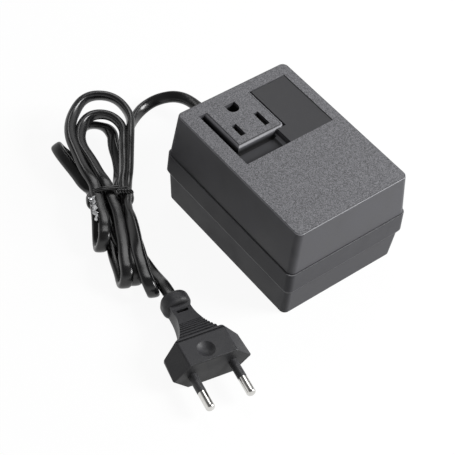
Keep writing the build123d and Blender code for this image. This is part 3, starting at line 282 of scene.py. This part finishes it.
# the free stretch lies flat in the relief, shows its broad face at the top of its arch and then turns
sideways, arch = Vector((1, 0, 0)), Vector((0.12, 0.72, 0.68))
cordWides = [sideways, sideways, Vector((0.8, 0.4, 0.5)), arch, arch, leaning + arch]
for (start, startAhead, startWide), (end, endAhead, endWide) in zip(hankStops, hankStops[1:]):
    # two corners lead from one stop to the next, each on its stop's own way
    chord, both = end - start, startAhead + endAhead
    spread = 2 * (1 - startAhead.dot(endAhead))
    along = chord.dot(both)
    if spread > cordRoute["sameWay"]:
        reach = (sqrt(along ** 2 + spread * chord.dot(chord)) - along) / spread
    else:
        reach = chord.dot(chord) / (2 * along)
    cordCorners += [start + startAhead * reach, end - endAhead * reach]
    cordWides += [startWide, endWide]
cordCorners += [Vector(place) for place in cordRoute["plugWay"][1:]]
cordWides += [level] * (len(cordRoute["plugWay"]) - 1)

cordCorners = [corner * mm for corner in cordCorners]
cordWides = steadyWides(cordCorners, cordWides)
railCorners = [c + w * cordRoute["railReach"] * mm for c, w in zip(cordCorners, cordWides)]
cordLine = smoothLine("cordRoute", cordCorners, cordRoute["stepsPerCorner"])
cordRail = smoothLine("cordRail", railCorners, cordRoute["stepsPerCorner"])
cordFaces = [(rail - centre).normalized() for rail, centre in zip(cordRail, cordLine)]
cordOutline = ovalOutline(cordRoute["width"] * mm, cordRoute["thickness"] * mm, cordRoute["sides"],
                          cordRoute["roundness"])
mainsCord = linkMesh("mains_cord", sweptMesh(cordLine, cordFaces, cordOutline))
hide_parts("cord_exit", "cord_hank", "cord_plug_run")
cordRun = sum((b - a).length for a, b in zip(cordLine, cordLine[1:]))
print("mains cord:", len(cordCorners), "corners,", len(cordLine), "rings,", round(cordRun, 4), "m")


# the tie that holds the hank: a coated wire wound round it twice and twisted shut on top
tieSettings = {
    "wire": 1.4,
    "wireSides": 12,
    "turns": 2,
    "along": (-5.2, -7.4),
    "sides": (-10.8, 9.3),
    "heights": (0.85, 14.2),
    # one turn's corners, as shares of half the tie's width and height, and how far they wander
    "turn": [(0.45, 1), (0.0, 1.0), (-0.5, 1), (-1, 0.496), (-1, -0.496), (-0.6, -1), (0, -1), (0.6, -1),
             (1, -0.496), (1, 0.496), (0.75, 1)],
    "wander": 0.5,
    "wanderStep": 0.37,
    "wanderSeed": 2.2,
    "turnSteps": 8,
    "knotFrom": (-8.8, 2.4, 14.9),
    "knotTo": (-8.2, 8.8, 13.6),
    "knotTurns": 2.5,
    "knotRadius": 0.8,
    "knotCorners": 8,
    "knotSteps": 5,
}


def wireTube(name, corners, steps):
    # a round wire along a smooth line, with rings that turn only as the line does
    line = smoothLine(name, [corner * mm for corner in corners], steps)
    wides = []
    for before, after in zip(line, line[2:]):
        ahead = (after - before).normalized()
        if wides:
            wides.append(lastAhead.rotation_difference(ahead) @ wides[-1])
        else:
            wides.append(ahead.orthogonal().normalized())
        lastAhead = ahead
    width = tieSettings["wire"] * mm
    outline = ovalOutline(width, width, tieSettings["wireSides"])
    return sweptMesh(line, [wides[0], *wides, wides[-1]], outline)


def makeTie():
    left, right = tieSettings["sides"]
    bottom, top = tieSettings["heights"]
    across, middle = (left + right) / 2, (bottom + top) / 2
    wide, tall = (right - left) / 2, (top - bottom) / 2
    start, end = tieSettings["along"]
    places = tieSettings["turn"] * tieSettings["turns"]
    corners = []
    for index, (aside, high) in enumerate(places):
        along = start + (end - start) * index / len(places)
        wander = noise.noise(Vector((index * tieSettings["wanderStep"], tieSettings["wanderSeed"], 0)))
        along += tieSettings["wander"] * wander
        corners.append(hankPlace + inHank(along, across + aside * wide, middle + high * tall))
    bm = wireTube("tie_turns", corners, tieSettings["turnSteps"])
    first, last = Vector(tieSettings["knotFrom"]), Vector(tieSettings["knotTo"])
    radius, perTurn = tieSettings["knotRadius"], tieSettings["knotCorners"]
    count = round(tieSettings["knotTurns"] * perTurn)
    for side in (0, pi):
        corners = []
        for index in range(count + 1):
            turn = side + 2 * pi * index / perTurn
            place = first.lerp(last, index / count)
            corners.append(hankPlace + inHank(place.x + radius * cos(turn), place.y,
                                              place.z + radius * sin(turn)))
        strand = wireTube("tie_strand", corners, tieSettings["knotSteps"])
        joined = bpy.data.meshes.new("tie_strand")
        strand.to_mesh(joined)
        bm.from_mesh(joined)
        strand.free()
        bpy.data.meshes.remove(joined)
    return linkMesh("hank_tie", bm)


hankTie = makeTie()
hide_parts("cord_tie")


# the tie's free end: a strip of crumpled silver foil that hangs down beside the hank
foilSettings = {
    "length": 14.0,
    "width": 3.2,
    "thickness": 0.2,
    "start": -9.4,
    "across": -9.4,
    "height": 13.4,
    "sideways": 1.1,
    "drop": 1.6,
    "cells": (60, 10),
    # waves along and across the strip, and where in the noise they are read
    "bends": (7, 1.6, 4.1),
    "creases": (17, 4.0, 1.7),
    "crumple": 0.9,
    "creaseShare": 0.8,
    # in radians: at the start, over the strip's length, and by its bends
    "twist": (0.2, 1.6, 1.1),
    # the width's share at a flat place, and how much a crease changes it
    "spread": (0.9, 0.5),
}


def wrinkled(share, side, waves):
    along, across, seed = waves
    return noise.noise(Vector((share * along, side * across, seed)))


def makeFoil():
    rows, columns = foilSettings["cells"]
    twistStart, twistRun, twistBend = foilSettings["twist"]
    flat, creased = foilSettings["spread"]
    bm = bmesh.new()
    bmesh.ops.create_grid(bm, x_segments=rows, y_segments=columns, size=0.5)
    for vertex in bm.verts:
        share, side = vertex.co.x + 0.5, vertex.co.y
        bend = wrinkled(share, side, foilSettings["bends"])
        crease = wrinkled(share, side, foilSettings["creases"])
        twist = twistStart + twistRun * share + twistBend * bend
        reach = foilSettings["width"] * side * (flat + creased * crease)
        lift = foilSettings["crumple"] * (bend + foilSettings["creaseShare"] * crease)
        along = foilSettings["start"] - foilSettings["length"] * share
        across = foilSettings["across"] + foilSettings["sideways"] * share
        across += cos(twist) * reach + lift * sin(twist)
        height = foilSettings["height"] - foilSettings["drop"] * share ** 2 + sin(twist) * reach + lift
        vertex.co = (hankPlace + inHank(along, across, height)) * mm
    bmesh.ops.solidify(bm, geom=bm.faces[:], thickness=foilSettings["thickness"] * mm)
    bmesh.ops.recalc_face_normals(bm, faces=bm.faces)
    return linkMesh("tie_foil_end", bm, smooth=False)


tieFoil = makeFoil()
print("tie made")


def linearColour(hexText):
    # an sRGB hex value in the linear numbers that the shaders take
    channels = [int(hexText[index:index + 2], 16) / 255 for index in (0, 2, 4)]
    return (*[c / 12.92 if c <= 0.04045 else ((c + 0.055) / 1.055) ** 2.4 for c in channels], 1)


def addNode(tree, kind, settings=None, links=None):
    # settings are the node's own or its sockets' values, links are what its sockets take
    node = tree.nodes.new(kind)
    for name, value in (settings or {}).items():
        if isinstance(name, int) or (name in node.inputs and not hasattr(node, name)):
            node.inputs[name].default_value = value
        else:
            setattr(node, name, value)
    for name, source in (links or {}).items():
        tree.links.new(source, node.inputs[name])
    return node


def newMaterial(name, sockets):
    # a fresh material: its shader, its tree and the place that its patterns read
    material = bpy.data.materials.new(name)
    material.use_nodes = True
    tree = material.node_tree
    tree.nodes.clear()
    shader = addNode(tree, "ShaderNodeBsdfPrincipled", sockets)
    addNode(tree, "ShaderNodeOutputMaterial", {}, {"Surface": shader.outputs[0]})
    place = addNode(tree, "ShaderNodeTexCoord").outputs["Object"]
    return material, tree, shader, place


def dress(piece, material):
    piece.data.materials.clear()
    piece.data.materials.append(material)


# most of what a noise pattern gives lies between these
noiseSpread = {"From Min": 0.3, "From Max": 0.7}


def mottled(tree, pattern, darker, lighter, spread=noiseSpread):
    # two colours mixed by a pattern
    share = addNode(tree, "ShaderNodeMapRange", spread, {"Value": pattern}).outputs[0]
    return addNode(tree, "ShaderNodeMix", {"data_type": "RGBA", 6: linearColour(darker),
                                           7: linearColour(lighter)}, {0: share}).outputs[2]


def surfaced(tree, shader, colour, rough, relief, strength, depth=0.1):
    # the colour, roughness and fine relief of a finish: the relief's depth is in millimetres
    tree.links.new(colour, shader.inputs["Base Color"])
    tree.links.new(rough, shader.inputs["Roughness"])
    bump = addNode(tree, "ShaderNodeBump", {"Strength": strength, "Distance": depth * mm},
                   {"Height": relief})
    tree.links.new(bump.outputs[0], shader.inputs["Normal"])
    return bump


# Spark-eroded black ABS, injection moulded: a fine even grain that scatters light on the
# up-facing faces, flatter and smoother walls where the tool was drafted, faint flow marks.
# The real grain is about 0.2 mm; it is drawn at 0.42 mm to show. Sizes are in millimetres.
caseFinish = {
    "cover": {"top": ("3f3f41", "7a7a7e"), "wall": ("47474a", "505054"), "gloss": 0.35},
    "base": {"top": ("555557", "727275"), "wall": ("434346", "4e4e51"), "gloss": 0.12},
    # how far a face is turned upwards where the wall's finish gives way to the top's
    "topTurned": {"From Min": 0.55, "From Max": 0.95},
    "grain": 0.42,
    "grainSpread": {"From Min": 0.34, "From Max": 0.66},
    "grainStrength": 0.35,
    "wallStrength": 0.3,  # share of the grain's strength that the walls have
    "flow": 14.0,
    "roughness": {"To Min": 0.44, "To Max": 0.62},
    "smudge": {"From Min": 0.35, "From Max": 0.7, "To Min": -0.05, "To Max": 0.07},
    # painted shade on the trough's floor, the seam under the cover, and painted shade on the outlet block's
    # flanks to their foot
    "trough": "343437",
    "seam": "101011",
    "flank": "141415",
    "heights": {"trough": (47.2, 48.8), "seam": (28.6, 28.9), "flank": (48.4, 50.0)},
    # middle and half size of the outlet block, and of the painted shadow strip along its foot
    "block": ((-8.5, 18.8, 48), (14.8, 17.3, 10)),
    "foot": ((-8.5, 11.3, 47), (14.8, 1.4, 1)),
    "flankTurned": 0.5,
    # a painted highlight along the rounded edges, and a dark line just inside the top face's edge: how far
    # upwards each band is turned where it begins, is full, fades and is gone
    "edgeHighlightAndLine": [("7a7a7e", 0.4, 0.45, 0.83, 0.866), ("2a2a2c", 0.88, 0.93, 0.962, 0.998)],
}


def withinBox(tree, place, middle, half):
    # 1 inside a box and 0 outside it, by its middle and half its size
    share = addNode(tree, "ShaderNodeVectorMath", {"operation": "SUBTRACT", 1: Vector(middle) * mm},
                    {0: place}).outputs[0]
    share = addNode(tree, "ShaderNodeVectorMath", {"operation": "DIVIDE", 1: Vector(half) * mm},
                    {0: share}).outputs[0]
    share = addNode(tree, "ShaderNodeVectorMath", {"operation": "ABSOLUTE"}, {0: share}).outputs[0]
    widest, *others = addNode(tree, "ShaderNodeSeparateXYZ", {}, {0: share}).outputs
    for other in others:
        widest = addNode(tree, "ShaderNodeMath", {"operation": "MAXIMUM"}, {0: widest, 1: other}).outputs[0]
    return addNode(tree, "ShaderNodeMath", {"operation": "LESS_THAN", 1: 1.0}, {0: widest}).outputs[0]


def coverShades(tree, place, turned, top):
    # the cover's painted shades, its painted edge highlight and its dark seam, each with the share of it
    # that shows
    height = addNode(tree, "ShaderNodeSeparateXYZ", {}, {0: place}).outputs["Z"]
    deep = {}
    for name, (low, high) in caseFinish["heights"].items():
        deep[name] = addNode(tree, "ShaderNodeMapRange", {"From Min": high * mm, "From Max": low * mm},
                             {"Value": height}).outputs[0]
    # painted shade: up-facing faces low in the trough are painted darker
    trough = addNode(tree, "ShaderNodeMath", {"operation": "MULTIPLY"}, {0: deep["trough"], 1: top})
    shades = [(trough.outputs[0], caseFinish["trough"]), (deep["seam"], caseFinish["seam"])]
    # painted highlight on the rounded edges, then a dark line just inside the top's edge
    for shade, begins, full, fades, gone in caseFinish["edgeHighlightAndLine"]:
        lower = addNode(tree, "ShaderNodeMapRange", {"From Min": begins, "From Max": full},
                        {"Value": turned}).outputs[0]
        upper = addNode(tree, "ShaderNodeMapRange", {"From Min": gone, "From Max": fades},
                        {"Value": turned}).outputs[0]
        band = addNode(tree, "ShaderNodeMath", {"operation": "MULTIPLY"}, {0: lower, 1: upper}).outputs[0]
        shades.append((band, shade))
    # painted shade: the outlet block's flanks darken towards their foot, and a painted shadow strip lies
    # along its foot
    side = addNode(tree, "ShaderNodeMath", {"operation": "LESS_THAN", 1: caseFinish["flankTurned"]},
                   {0: turned}).outputs[0]
    flank = deep["flank"]
    for share in (withinBox(tree, place, *caseFinish["block"]), side):
        flank = addNode(tree, "ShaderNodeMath", {"operation": "MULTIPLY"}, {0: flank, 1: share}).outputs[0]
    foot = withinBox(tree, place, *caseFinish["foot"])
    paintedBlockShade = addNode(tree, "ShaderNodeMath", {"operation": "MAXIMUM"}, {0: flank, 1: foot})
    return shades + [(paintedBlockShade.outputs[0], caseFinish["flank"])]


def mouldedCase(name, colours, isCover):
    material, tree, shader, place = newMaterial(name, {"Specular IOR Level": colours["gloss"]})
    normal = addNode(tree, "ShaderNodeNewGeometry").outputs["Normal"]
    turned = addNode(tree, "ShaderNodeSeparateXYZ", {}, {0: normal}).outputs["Z"]
    top = addNode(tree, "ShaderNodeMapRange", caseFinish["topTurned"], {"Value": turned}).outputs[0]
    grain = addNode(tree, "ShaderNodeTexNoise", {"Scale": 1 / (caseFinish["grain"] * mm), "Detail": 2.0,
                                                 "Roughness": 0.6}, {"Vector": place}).outputs["Fac"]
    flow = addNode(tree, "ShaderNodeTexNoise", {"Scale": 1 / (caseFinish["flow"] * mm), "Detail": 3.0,
                                                "Distortion": 0.8}, {"Vector": place}).outputs["Fac"]
    topColour = mottled(tree, grain, *colours["top"], caseFinish["grainSpread"])
    wallColour = mottled(tree, flow, *colours["wall"])
    colour = addNode(tree, "ShaderNodeMix", {"data_type": "RGBA"},
                     {0: top, 6: wallColour, 7: topColour}).outputs[2]
    # painted shades and the painted edge highlight, with the dark seam, laid over the cover's colour
    for share, shade in coverShades(tree, place, turned, top) if isCover else ():
        colour = addNode(tree, "ShaderNodeMix", {"data_type": "RGBA", 7: linearColour(shade)},
                         {0: share, 6: colour}).outputs[2]
    rough = addNode(tree, "ShaderNodeMapRange", caseFinish["roughness"], {"Value": top}).outputs[0]
    smudge = addNode(tree, "ShaderNodeMapRange", caseFinish["smudge"], {"Value": flow}).outputs[0]
    rough = addNode(tree, "ShaderNodeMath", {"operation": "ADD"}, {0: rough, 1: smudge}).outputs[0]
    bump = surfaced(tree, shader, colour, rough, grain, caseFinish["grainStrength"])
    # the grain is shallower on the walls
    strength = addNode(tree, "ShaderNodeMapRange", {
        "To Min": caseFinish["grainStrength"] * caseFinish["wallStrength"],
        "To Max": caseFinish["grainStrength"]}, {"Value": top}).outputs[0]
    tree.links.new(strength, bump.inputs["Strength"])
    return material


dress(nodes["top_cover"], mouldedCase("moulded_abs_cover", caseFinish["cover"], True))
dress(nodes["base_shell"], mouldedCase("moulded_abs_base", caseFinish["base"], False))

# The other finishes, each a fine grain, a mottle of two close colours and a change of gloss:
# colours, grain and mottle sizes in millimetres, bump strength, roughness range, other sockets
finishes = {
    # polyester plate, screen-primed satin dark grey and left bare
    "satin_polyester_plate": {"colours": ("252528", "2c2c2f"), "grain": 0.3, "mottle": 9.0, "bump": 0.08,
                              "roughness": (0.4, 0.5), "sockets": {"Specular IOR Level": 0.4}},
    # zinc-plated pan-head steel: bright with a faint grey bloom
    "zinc_plated_steel": {"colours": ("b9bbbd", "cdced0"), "grain": 0.15, "mottle": 1.6, "bump": 0.1,
                          "roughness": (0.28, 0.42), "sockets": {"Metallic": 1.0}},
    # moulded nylon of the contact holder: black, slightly waxy
    "black_nylon": {"colours": ("1d1d1f", "29292b"), "grain": 0.3, "mottle": 5.0, "bump": 0.12,
                    "roughness": (0.45, 0.58), "sockets": {}},
    # stamped spring brass, tinned all over: dull silver grey
    "tinned_brass": {"colours": ("7f7e7a", "9b9a96"), "grain": 0.25, "mottle": 2.5, "bump": 0.04,
                     "roughness": (0.38, 0.5), "sockets": {"Metallic": 1.0}},
    # moulded nylon bobbin, natural ivory, a little see-through at its thin walls
    "ivory_nylon": {"colours": ("d8cfb8", "e4ddca"), "grain": 0.3, "mottle": 6.0, "bump": 0.1,
                    "roughness": (0.4, 0.52), "sockets": {"Subsurface Weight": 0.08,
                                                           "Subsurface Scale": 0.002}},
    # yellow polyester film tape, shiny, with slight wrinkles
    "yellow_polyester_tape": {"colours": ("cf9f1f", "ddb235"), "grain": 1.4, "mottle": 7.0, "bump": 0.25,
                              "roughness": (0.22, 0.34), "sockets": {"Coat Weight": 0.3}},
    # PVC-covered hook-up wire, extruded and glossy
    "black_lead_pvc": {"colours": ("151516", "1e1e20"), "grain": 0.5, "mottle": 6.0, "bump": 0.08,
                       "roughness": (0.28, 0.4), "sockets": {}},
    "red_lead_pvc": {"colours": ("8c1713", "a3201a"), "grain": 0.5, "mottle": 6.0, "bump": 0.08,
                     "roughness": (0.28, 0.4), "sockets": {}},
    # soft PVC of the strain relief, dull with a slight bloom
    "soft_black_pvc": {"colours": ("19191b", "242426"), "grain": 0.35, "mottle": 3.0, "bump": 0.2,
                       "roughness": (0.42, 0.56), "sockets": {}},
    # moulded nylon clamp bar
    "grey_nylon": {"colours": ("5f6163", "6c6e70"), "grain": 0.3, "mottle": 4.0, "bump": 0.12,
                   "roughness": (0.42, 0.55), "sockets": {}},
    # hard moulded nylon of the bridge between the pins
    "bridge_nylon": {"colours": ("222224", "2c2c2e"), "grain": 0.3, "mottle": 4.0, "bump": 0.12,
                     "roughness": (0.42, 0.55), "sockets": {}},
    # nickel-plated brass pins, drawn and tumbled: near mirror with faint streaks
    "nickel_plate": {"colours": ("c9c8c4", "dad9d6"), "grain": 0.25, "mottle": 2.2, "bump": 0.03,
                     "roughness": (0.1, 0.2), "sockets": {"Metallic": 1.0}},
    # dark grey nylon pin sleeves, satin from the mould
    "satin_grey_nylon": {"colours": ("2f2f31", "3a3a3c"), "grain": 0.4, "mottle": 3.0, "bump": 0.05,
                         "roughness": (0.38, 0.5), "sockets": {}},
    # glossy PVC coating of the tie wire
    "tie_wire_pvc": {"colours": ("0e0e0f", "19191a"), "grain": 0.5, "mottle": 2.0, "bump": 0.08,
                     "roughness": (0.14, 0.24), "sockets": {"Coat Weight": 0.4, "Coat Roughness": 0.08}},
    # crumpled aluminium foil strip
    "crumpled_foil": {"colours": ("626365", "d2d3d4"), "grain": 0.6, "mottle": 1.4, "bump": 0.5,
                      "roughness": (0.12, 0.26), "sockets": {"Metallic": 1.0}},
}


def finished(name):
    finish = finishes[name]
    material, tree, shader, place = newMaterial(name, finish["sockets"])
    grain = addNode(tree, "ShaderNodeTexNoise", {"Scale": 1 / (finish["grain"] * mm), "Detail": 2.0},
                    {"Vector": place}).outputs["Fac"]
    mottle = addNode(tree, "ShaderNodeTexNoise", {"Scale": 1 / (finish["mottle"] * mm), "Detail": 3.0},
                     {"Vector": place}).outputs["Fac"]
    low, high = finish["roughness"]
    rough = addNode(tree, "ShaderNodeMapRange", {**noiseSpread, "To Min": low, "To Max": high},
                    {"Value": mottle}).outputs[0]
    surfaced(tree, shader, mottled(tree, mottle, *finish["colours"]), rough, grain, finish["bump"])
    return material


plainParts = {
    "satin_polyester_plate": ["rating_plate"],
    "zinc_plated_steel": ["case_screws", "holder_screws", "core_screws", "clamp_screws"],
    "black_nylon": ["contact_holder"],
    "tinned_brass": ["contact_short", "contact_long"],
    "ivory_nylon": ["bobbin"],
    "yellow_polyester_tape": ["winding_tape"],
    "black_lead_pvc": ["supply_lead_a", "outlet_lead_a"],
    "red_lead_pvc": ["supply_lead_b", "outlet_lead_b"],
    "soft_black_pvc": ["strain_relief"],
    "grey_nylon": ["cord_clamp"],
    "bridge_nylon": ["plug_pin_bridge"],
    "nickel_plate": ["plug_pins"],
    "satin_grey_nylon": ["pin_sleeves"],
}
for finishName, partNames in plainParts.items():
    material = finished(finishName)
    for partName in partNames:
        dress(nodes[partName], material)
dress(hankTie, finished("tie_wire_pvc"))
dress(tieFoil, finished("crumpled_foil"))


# Pressed silicon steel sheets 0.5 mm thick, stacked: fine lines round the stack and a brown
# varnish that pools unevenly
coreFinish = {
    "waves": 628.0,  # a line every 0.5 mm
    "distortion": 0.3,
    "lines": ("3c3a38", "ffffff"),
    "lineShare": 0.5,
    "stain": 6.0,
    "varnish": ("6f665c", "8f8a84"),
    "roughness": {"To Min": 0.35, "To Max": 0.6},
    "relief": 0.5,
}


def laminatedSteel():
    material, tree, shader, place = newMaterial("varnished_core_sheets", {"Metallic": 0.85})
    sheets = addNode(tree, "ShaderNodeTexWave", {
        "bands_direction": "Z", "Scale": coreFinish["waves"],
        "Distortion": coreFinish["distortion"]}, {"Vector": place}).outputs["Fac"]
    stain = addNode(tree, "ShaderNodeTexNoise", {"Scale": 1 / (coreFinish["stain"] * mm), "Detail": 4.0},
                    {"Vector": place}).outputs["Fac"]
    varnish = mottled(tree, stain, *coreFinish["varnish"])
    lines = mottled(tree, sheets, *coreFinish["lines"])
    colour = addNode(tree, "ShaderNodeMix", {"data_type": "RGBA", "blend_type": "MULTIPLY",
                                             0: coreFinish["lineShare"]}, {6: varnish, 7: lines}).outputs[2]
    rough = addNode(tree, "ShaderNodeMapRange", coreFinish["roughness"], {"Value": stain}).outputs[0]
    surfaced(tree, shader, colour, rough, sheets, coreFinish["relief"])
    return material


# Enamelled copper wire of 0.4 mm, wound in layers: a line for each turn, amber enamel over red
windingFinish = {
    "waves": 785.0,  # a line every 0.4 mm
    "distortion": 0.2,
    "colours": ("6b2f14", "c4713a"),
    "spread": {"From Min": 0.0, "From Max": 0.8},
    "roughness": {"To Min": 0.45, "To Max": 0.28},
    "relief": 0.8,
    "depth": 0.2,
    "sockets": {"Metallic": 1.0, "Coat Weight": 0.5, "Coat Roughness": 0.15},
}


def enamelledCopper():
    material, tree, shader, place = newMaterial("enamelled_copper_turns", windingFinish["sockets"])
    turns = addNode(tree, "ShaderNodeTexWave", {
        "bands_direction": "Y", "Scale": windingFinish["waves"],
        "Distortion": windingFinish["distortion"]}, {"Vector": place}).outputs["Fac"]
    colour = mottled(tree, turns, *windingFinish["colours"], windingFinish["spread"])
    rough = addNode(tree, "ShaderNodeMapRange", windingFinish["roughness"], {"Value": turns}).outputs[0]
    surfaced(tree, shader, colour, rough, turns, windingFinish["relief"], windingFinish["depth"])
    return material


coreSheets = laminatedSteel()
for partName in ("core_e_plates", "core_i_plates"):
    dress(nodes[partName], coreSheets)
dress(nodes["winding"], enamelledCopper())


# Extruded PVC sheath of the mains lead: near black and glossy, with a slight ripple from the two
# cores inside and a few dull rubbed places
cordFinish = {
    "colours": ("101011", "1b1b1c"),
    "ripple": 4.5,
    "rubbed": 11.0,
    "roughness": {"From Min": 0.35, "From Max": 0.75, "To Min": 0.2, "To Max": 0.36},
    "relief": 0.12,
    "depth": 0.3,
}


def cordSheath():
    material, tree, shader, place = newMaterial("glossy_cord_pvc", {"IOR": 1.53})
    ripple = addNode(tree, "ShaderNodeTexNoise", {"Scale": 1 / (cordFinish["ripple"] * mm), "Detail": 2.0},
                     {"Vector": place}).outputs["Fac"]
    rubbed = addNode(tree, "ShaderNodeTexNoise", {"Scale": 1 / (cordFinish["rubbed"] * mm), "Detail": 4.0,
                                                  "Roughness": 0.6}, {"Vector": place}).outputs["Fac"]
    rough = addNode(tree, "ShaderNodeMapRange", cordFinish["roughness"], {"Value": rubbed}).outputs[0]
    surfaced(tree, shader, mottled(tree, rubbed, *cordFinish["colours"]), rough, ripple,
             cordFinish["relief"], cordFinish["depth"])
    return material


sheath = cordSheath()
dress(mainsCord, sheath)
dress(nodes["cord_inner"], sheath)


# Overmoulded soft PVC of the plug: dark grey with a fine etched grain, cloudy in tone and gloss
plugFinish = {
    "colours": ("212123", "323235"),
    # painted shade: the face round the pins is painted darker, and this is how far a face is turned towards
    # their tips
    "faceShadeColours": ("161617", "212123"),
    "faceShadeTurned": {"From Min": -0.5, "From Max": -0.85},
    "grain": 0.35,
    "cloud": 6.0,
    "cloudShare": 0.35,
    "spread": {"From Min": 0.36, "From Max": 0.64},
    "roughness": {"To Min": 0.42, "To Max": 0.58},
    "relief": 0.25,
}


def plugPvc():
    material, tree, shader, place = newMaterial("etched_plug_pvc", {"Specular IOR Level": 0.4})
    grain = addNode(tree, "ShaderNodeTexNoise", {"Scale": 1 / (plugFinish["grain"] * mm), "Detail": 2.0,
                                                 "Roughness": 0.6}, {"Vector": place}).outputs["Fac"]
    cloud = addNode(tree, "ShaderNodeTexNoise", {"Scale": 1 / (plugFinish["cloud"] * mm), "Detail": 3.0},
                    {"Vector": place}).outputs["Fac"]
    both = addNode(tree, "ShaderNodeMix", {"data_type": "FLOAT", 0: plugFinish["cloudShare"]},
                   {2: grain, 3: cloud}).outputs[0]
    normal = addNode(tree, "ShaderNodeNewGeometry").outputs["Normal"]
    turned = addNode(tree, "ShaderNodeSeparateXYZ", {}, {0: normal}).outputs["Y"]
    # painted shade on the faces turned towards the pins' tips
    pinFaceShade = addNode(tree, "ShaderNodeMapRange", plugFinish["faceShadeTurned"], {"Value": turned}).outputs[0]
    colour = addNode(tree, "ShaderNodeMix", {"data_type": "RGBA"}, {
        0: pinFaceShade, 6: mottled(tree, both, *plugFinish["colours"], plugFinish["spread"]),
        7: mottled(tree, both, *plugFinish["faceShadeColours"], plugFinish["spread"])}).outputs[2]
    rough = addNode(tree, "ShaderNodeMapRange", {**noiseSpread, **plugFinish["roughness"]},
                    {"Value": cloud}).outputs[0]
    surfaced(tree, shader, colour, rough, grain, plugFinish["relief"])
    return material


dress(nodes["plug_body"], plugPvc())
print("materials made:", len(bpy.data.materials))


# the studio: a white floor and backdrop, a dim even world, a key lamp and a soft box overhead
studio = {
    "ambient": 0.26,
    "horizon": 1.0,
    "ceiling": 0.15,
    # the floor as it is seen, as it lights the object, and the share of it that is plain white
    "floorColour": "f0f0f0",
    "bounceColour": "868686",
    "floorWhite": 0.93,
    "floorSize": 6,
    # sines of the angles above the floor where the white backdrop begins to dim and is dimmest
    "backdrop": {"From Min": 0.34, "From Max": 0.66},
    # name, place, aimed at, width, depth, level that it gives at the object
    "lamps": [("key_lamp", (0.62, -0.58, 0.62), (0, 0, 0.03), 0.45, 0.45, 1.55),
              ("soft_box", (0.42, 0.5, 0.95), (-0.03, 0, 0), 0.5, 0.4, 0.17)],
}


def whatIsSeen(tree):
    # 1 for what the camera, gloss and glass see, 0 for the light that falls on things
    rays = addNode(tree, "ShaderNodeLightPath").outputs
    seen = rays["Is Camera Ray"]
    for kind in ("Is Glossy Ray", "Is Transmission Ray"):
        seen = addNode(tree, "ShaderNodeMath", {"operation": "MAXIMUM"}, {0: seen, 1: rays[kind]}).outputs[0]
    return seen


def makeFloor():
    bm = bmesh.new()
    bmesh.ops.create_grid(bm, x_segments=2, y_segments=2, size=studio["floorSize"])
    mesh = bpy.data.meshes.new("studio_floor")
    bm.to_mesh(mesh)
    bm.free()
    floor = bpy.data.objects.new("studio_floor", mesh)
    bpy.context.scene.collection.objects.link(floor)
    # white paper: what the camera, gloss and glass see is mostly plain white, under a light shadow
    material = bpy.data.materials.new("white_paper_floor")
    material.use_nodes = True
    tree = material.node_tree
    tree.nodes.clear()
    white = addNode(tree, "ShaderNodeEmission", {"Strength": 1.0})
    seen = whatIsSeen(tree)
    tone = addNode(tree, "ShaderNodeMix", {"data_type": "RGBA", 6: linearColour(studio["bounceColour"]),
                                           7: linearColour(studio["floorColour"])}, {0: seen})
    paper = addNode(tree, "ShaderNodeBsdfDiffuse", {}, {"Color": tone.outputs[2]})
    share = addNode(tree, "ShaderNodeMath", {"operation": "MULTIPLY", 1: studio["floorWhite"]}, {0: seen})
    mixed = addNode(tree, "ShaderNodeMixShader", {}, {0: share.outputs[0], 1: paper.outputs[0],
                                                      2: white.outputs[0]})
    addNode(tree, "ShaderNodeOutputMaterial", {}, {"Surface": mixed.outputs[0]})
    mesh.materials.append(material)


def makeWorld():
    world = bpy.data.worlds.new("studio_world")
    bpy.context.scene.world = world
    world.use_nodes = True
    tree = world.node_tree
    tree.nodes.clear()
    sky = addNode(tree, "ShaderNodeTexCoord").outputs["Generated"]
    height = addNode(tree, "ShaderNodeSeparateXYZ", {}, {0: sky}).outputs["Z"]
    backdrop = addNode(tree, "ShaderNodeMapRange", {
        **studio["backdrop"], "To Min": studio["horizon"], "To Max": studio["ceiling"]},
                       {"Value": height}).outputs[0]
    strength = addNode(tree, "ShaderNodeMix", {"data_type": "FLOAT", 2: studio["ambient"]},
                       {0: whatIsSeen(tree), 3: backdrop})
    background = addNode(tree, "ShaderNodeBackground", {"Color": (1, 1, 1, 1)},
                         {"Strength": strength.outputs[0]})
    addNode(tree, "ShaderNodeOutputWorld", {}, {"Surface": background.outputs[0]})


def makeLamps():
    for name, place, aim, width, depth, lampLevel in studio["lamps"]:
        lamp = bpy.data.lights.new(name, "AREA")
        lamp.shape = "RECTANGLE"
        lamp.size, lamp.size_y = width, depth
        away = Vector(place) - Vector(aim)
        # this power makes a white surface that faces the lamp as bright as its level
        lamp.energy = lampLevel * pi ** 2 * away.length_squared
        holder = bpy.data.objects.new(name, lamp)
        bpy.context.scene.collection.objects.link(holder)
        holder.location = place
        holder.rotation_euler = away.to_track_quat("Z", "Y").to_euler()


makeFloor()
makeWorld()
makeLamps()
bpy.context.scene.view_settings.view_transform = "Standard"
print("studio lit")
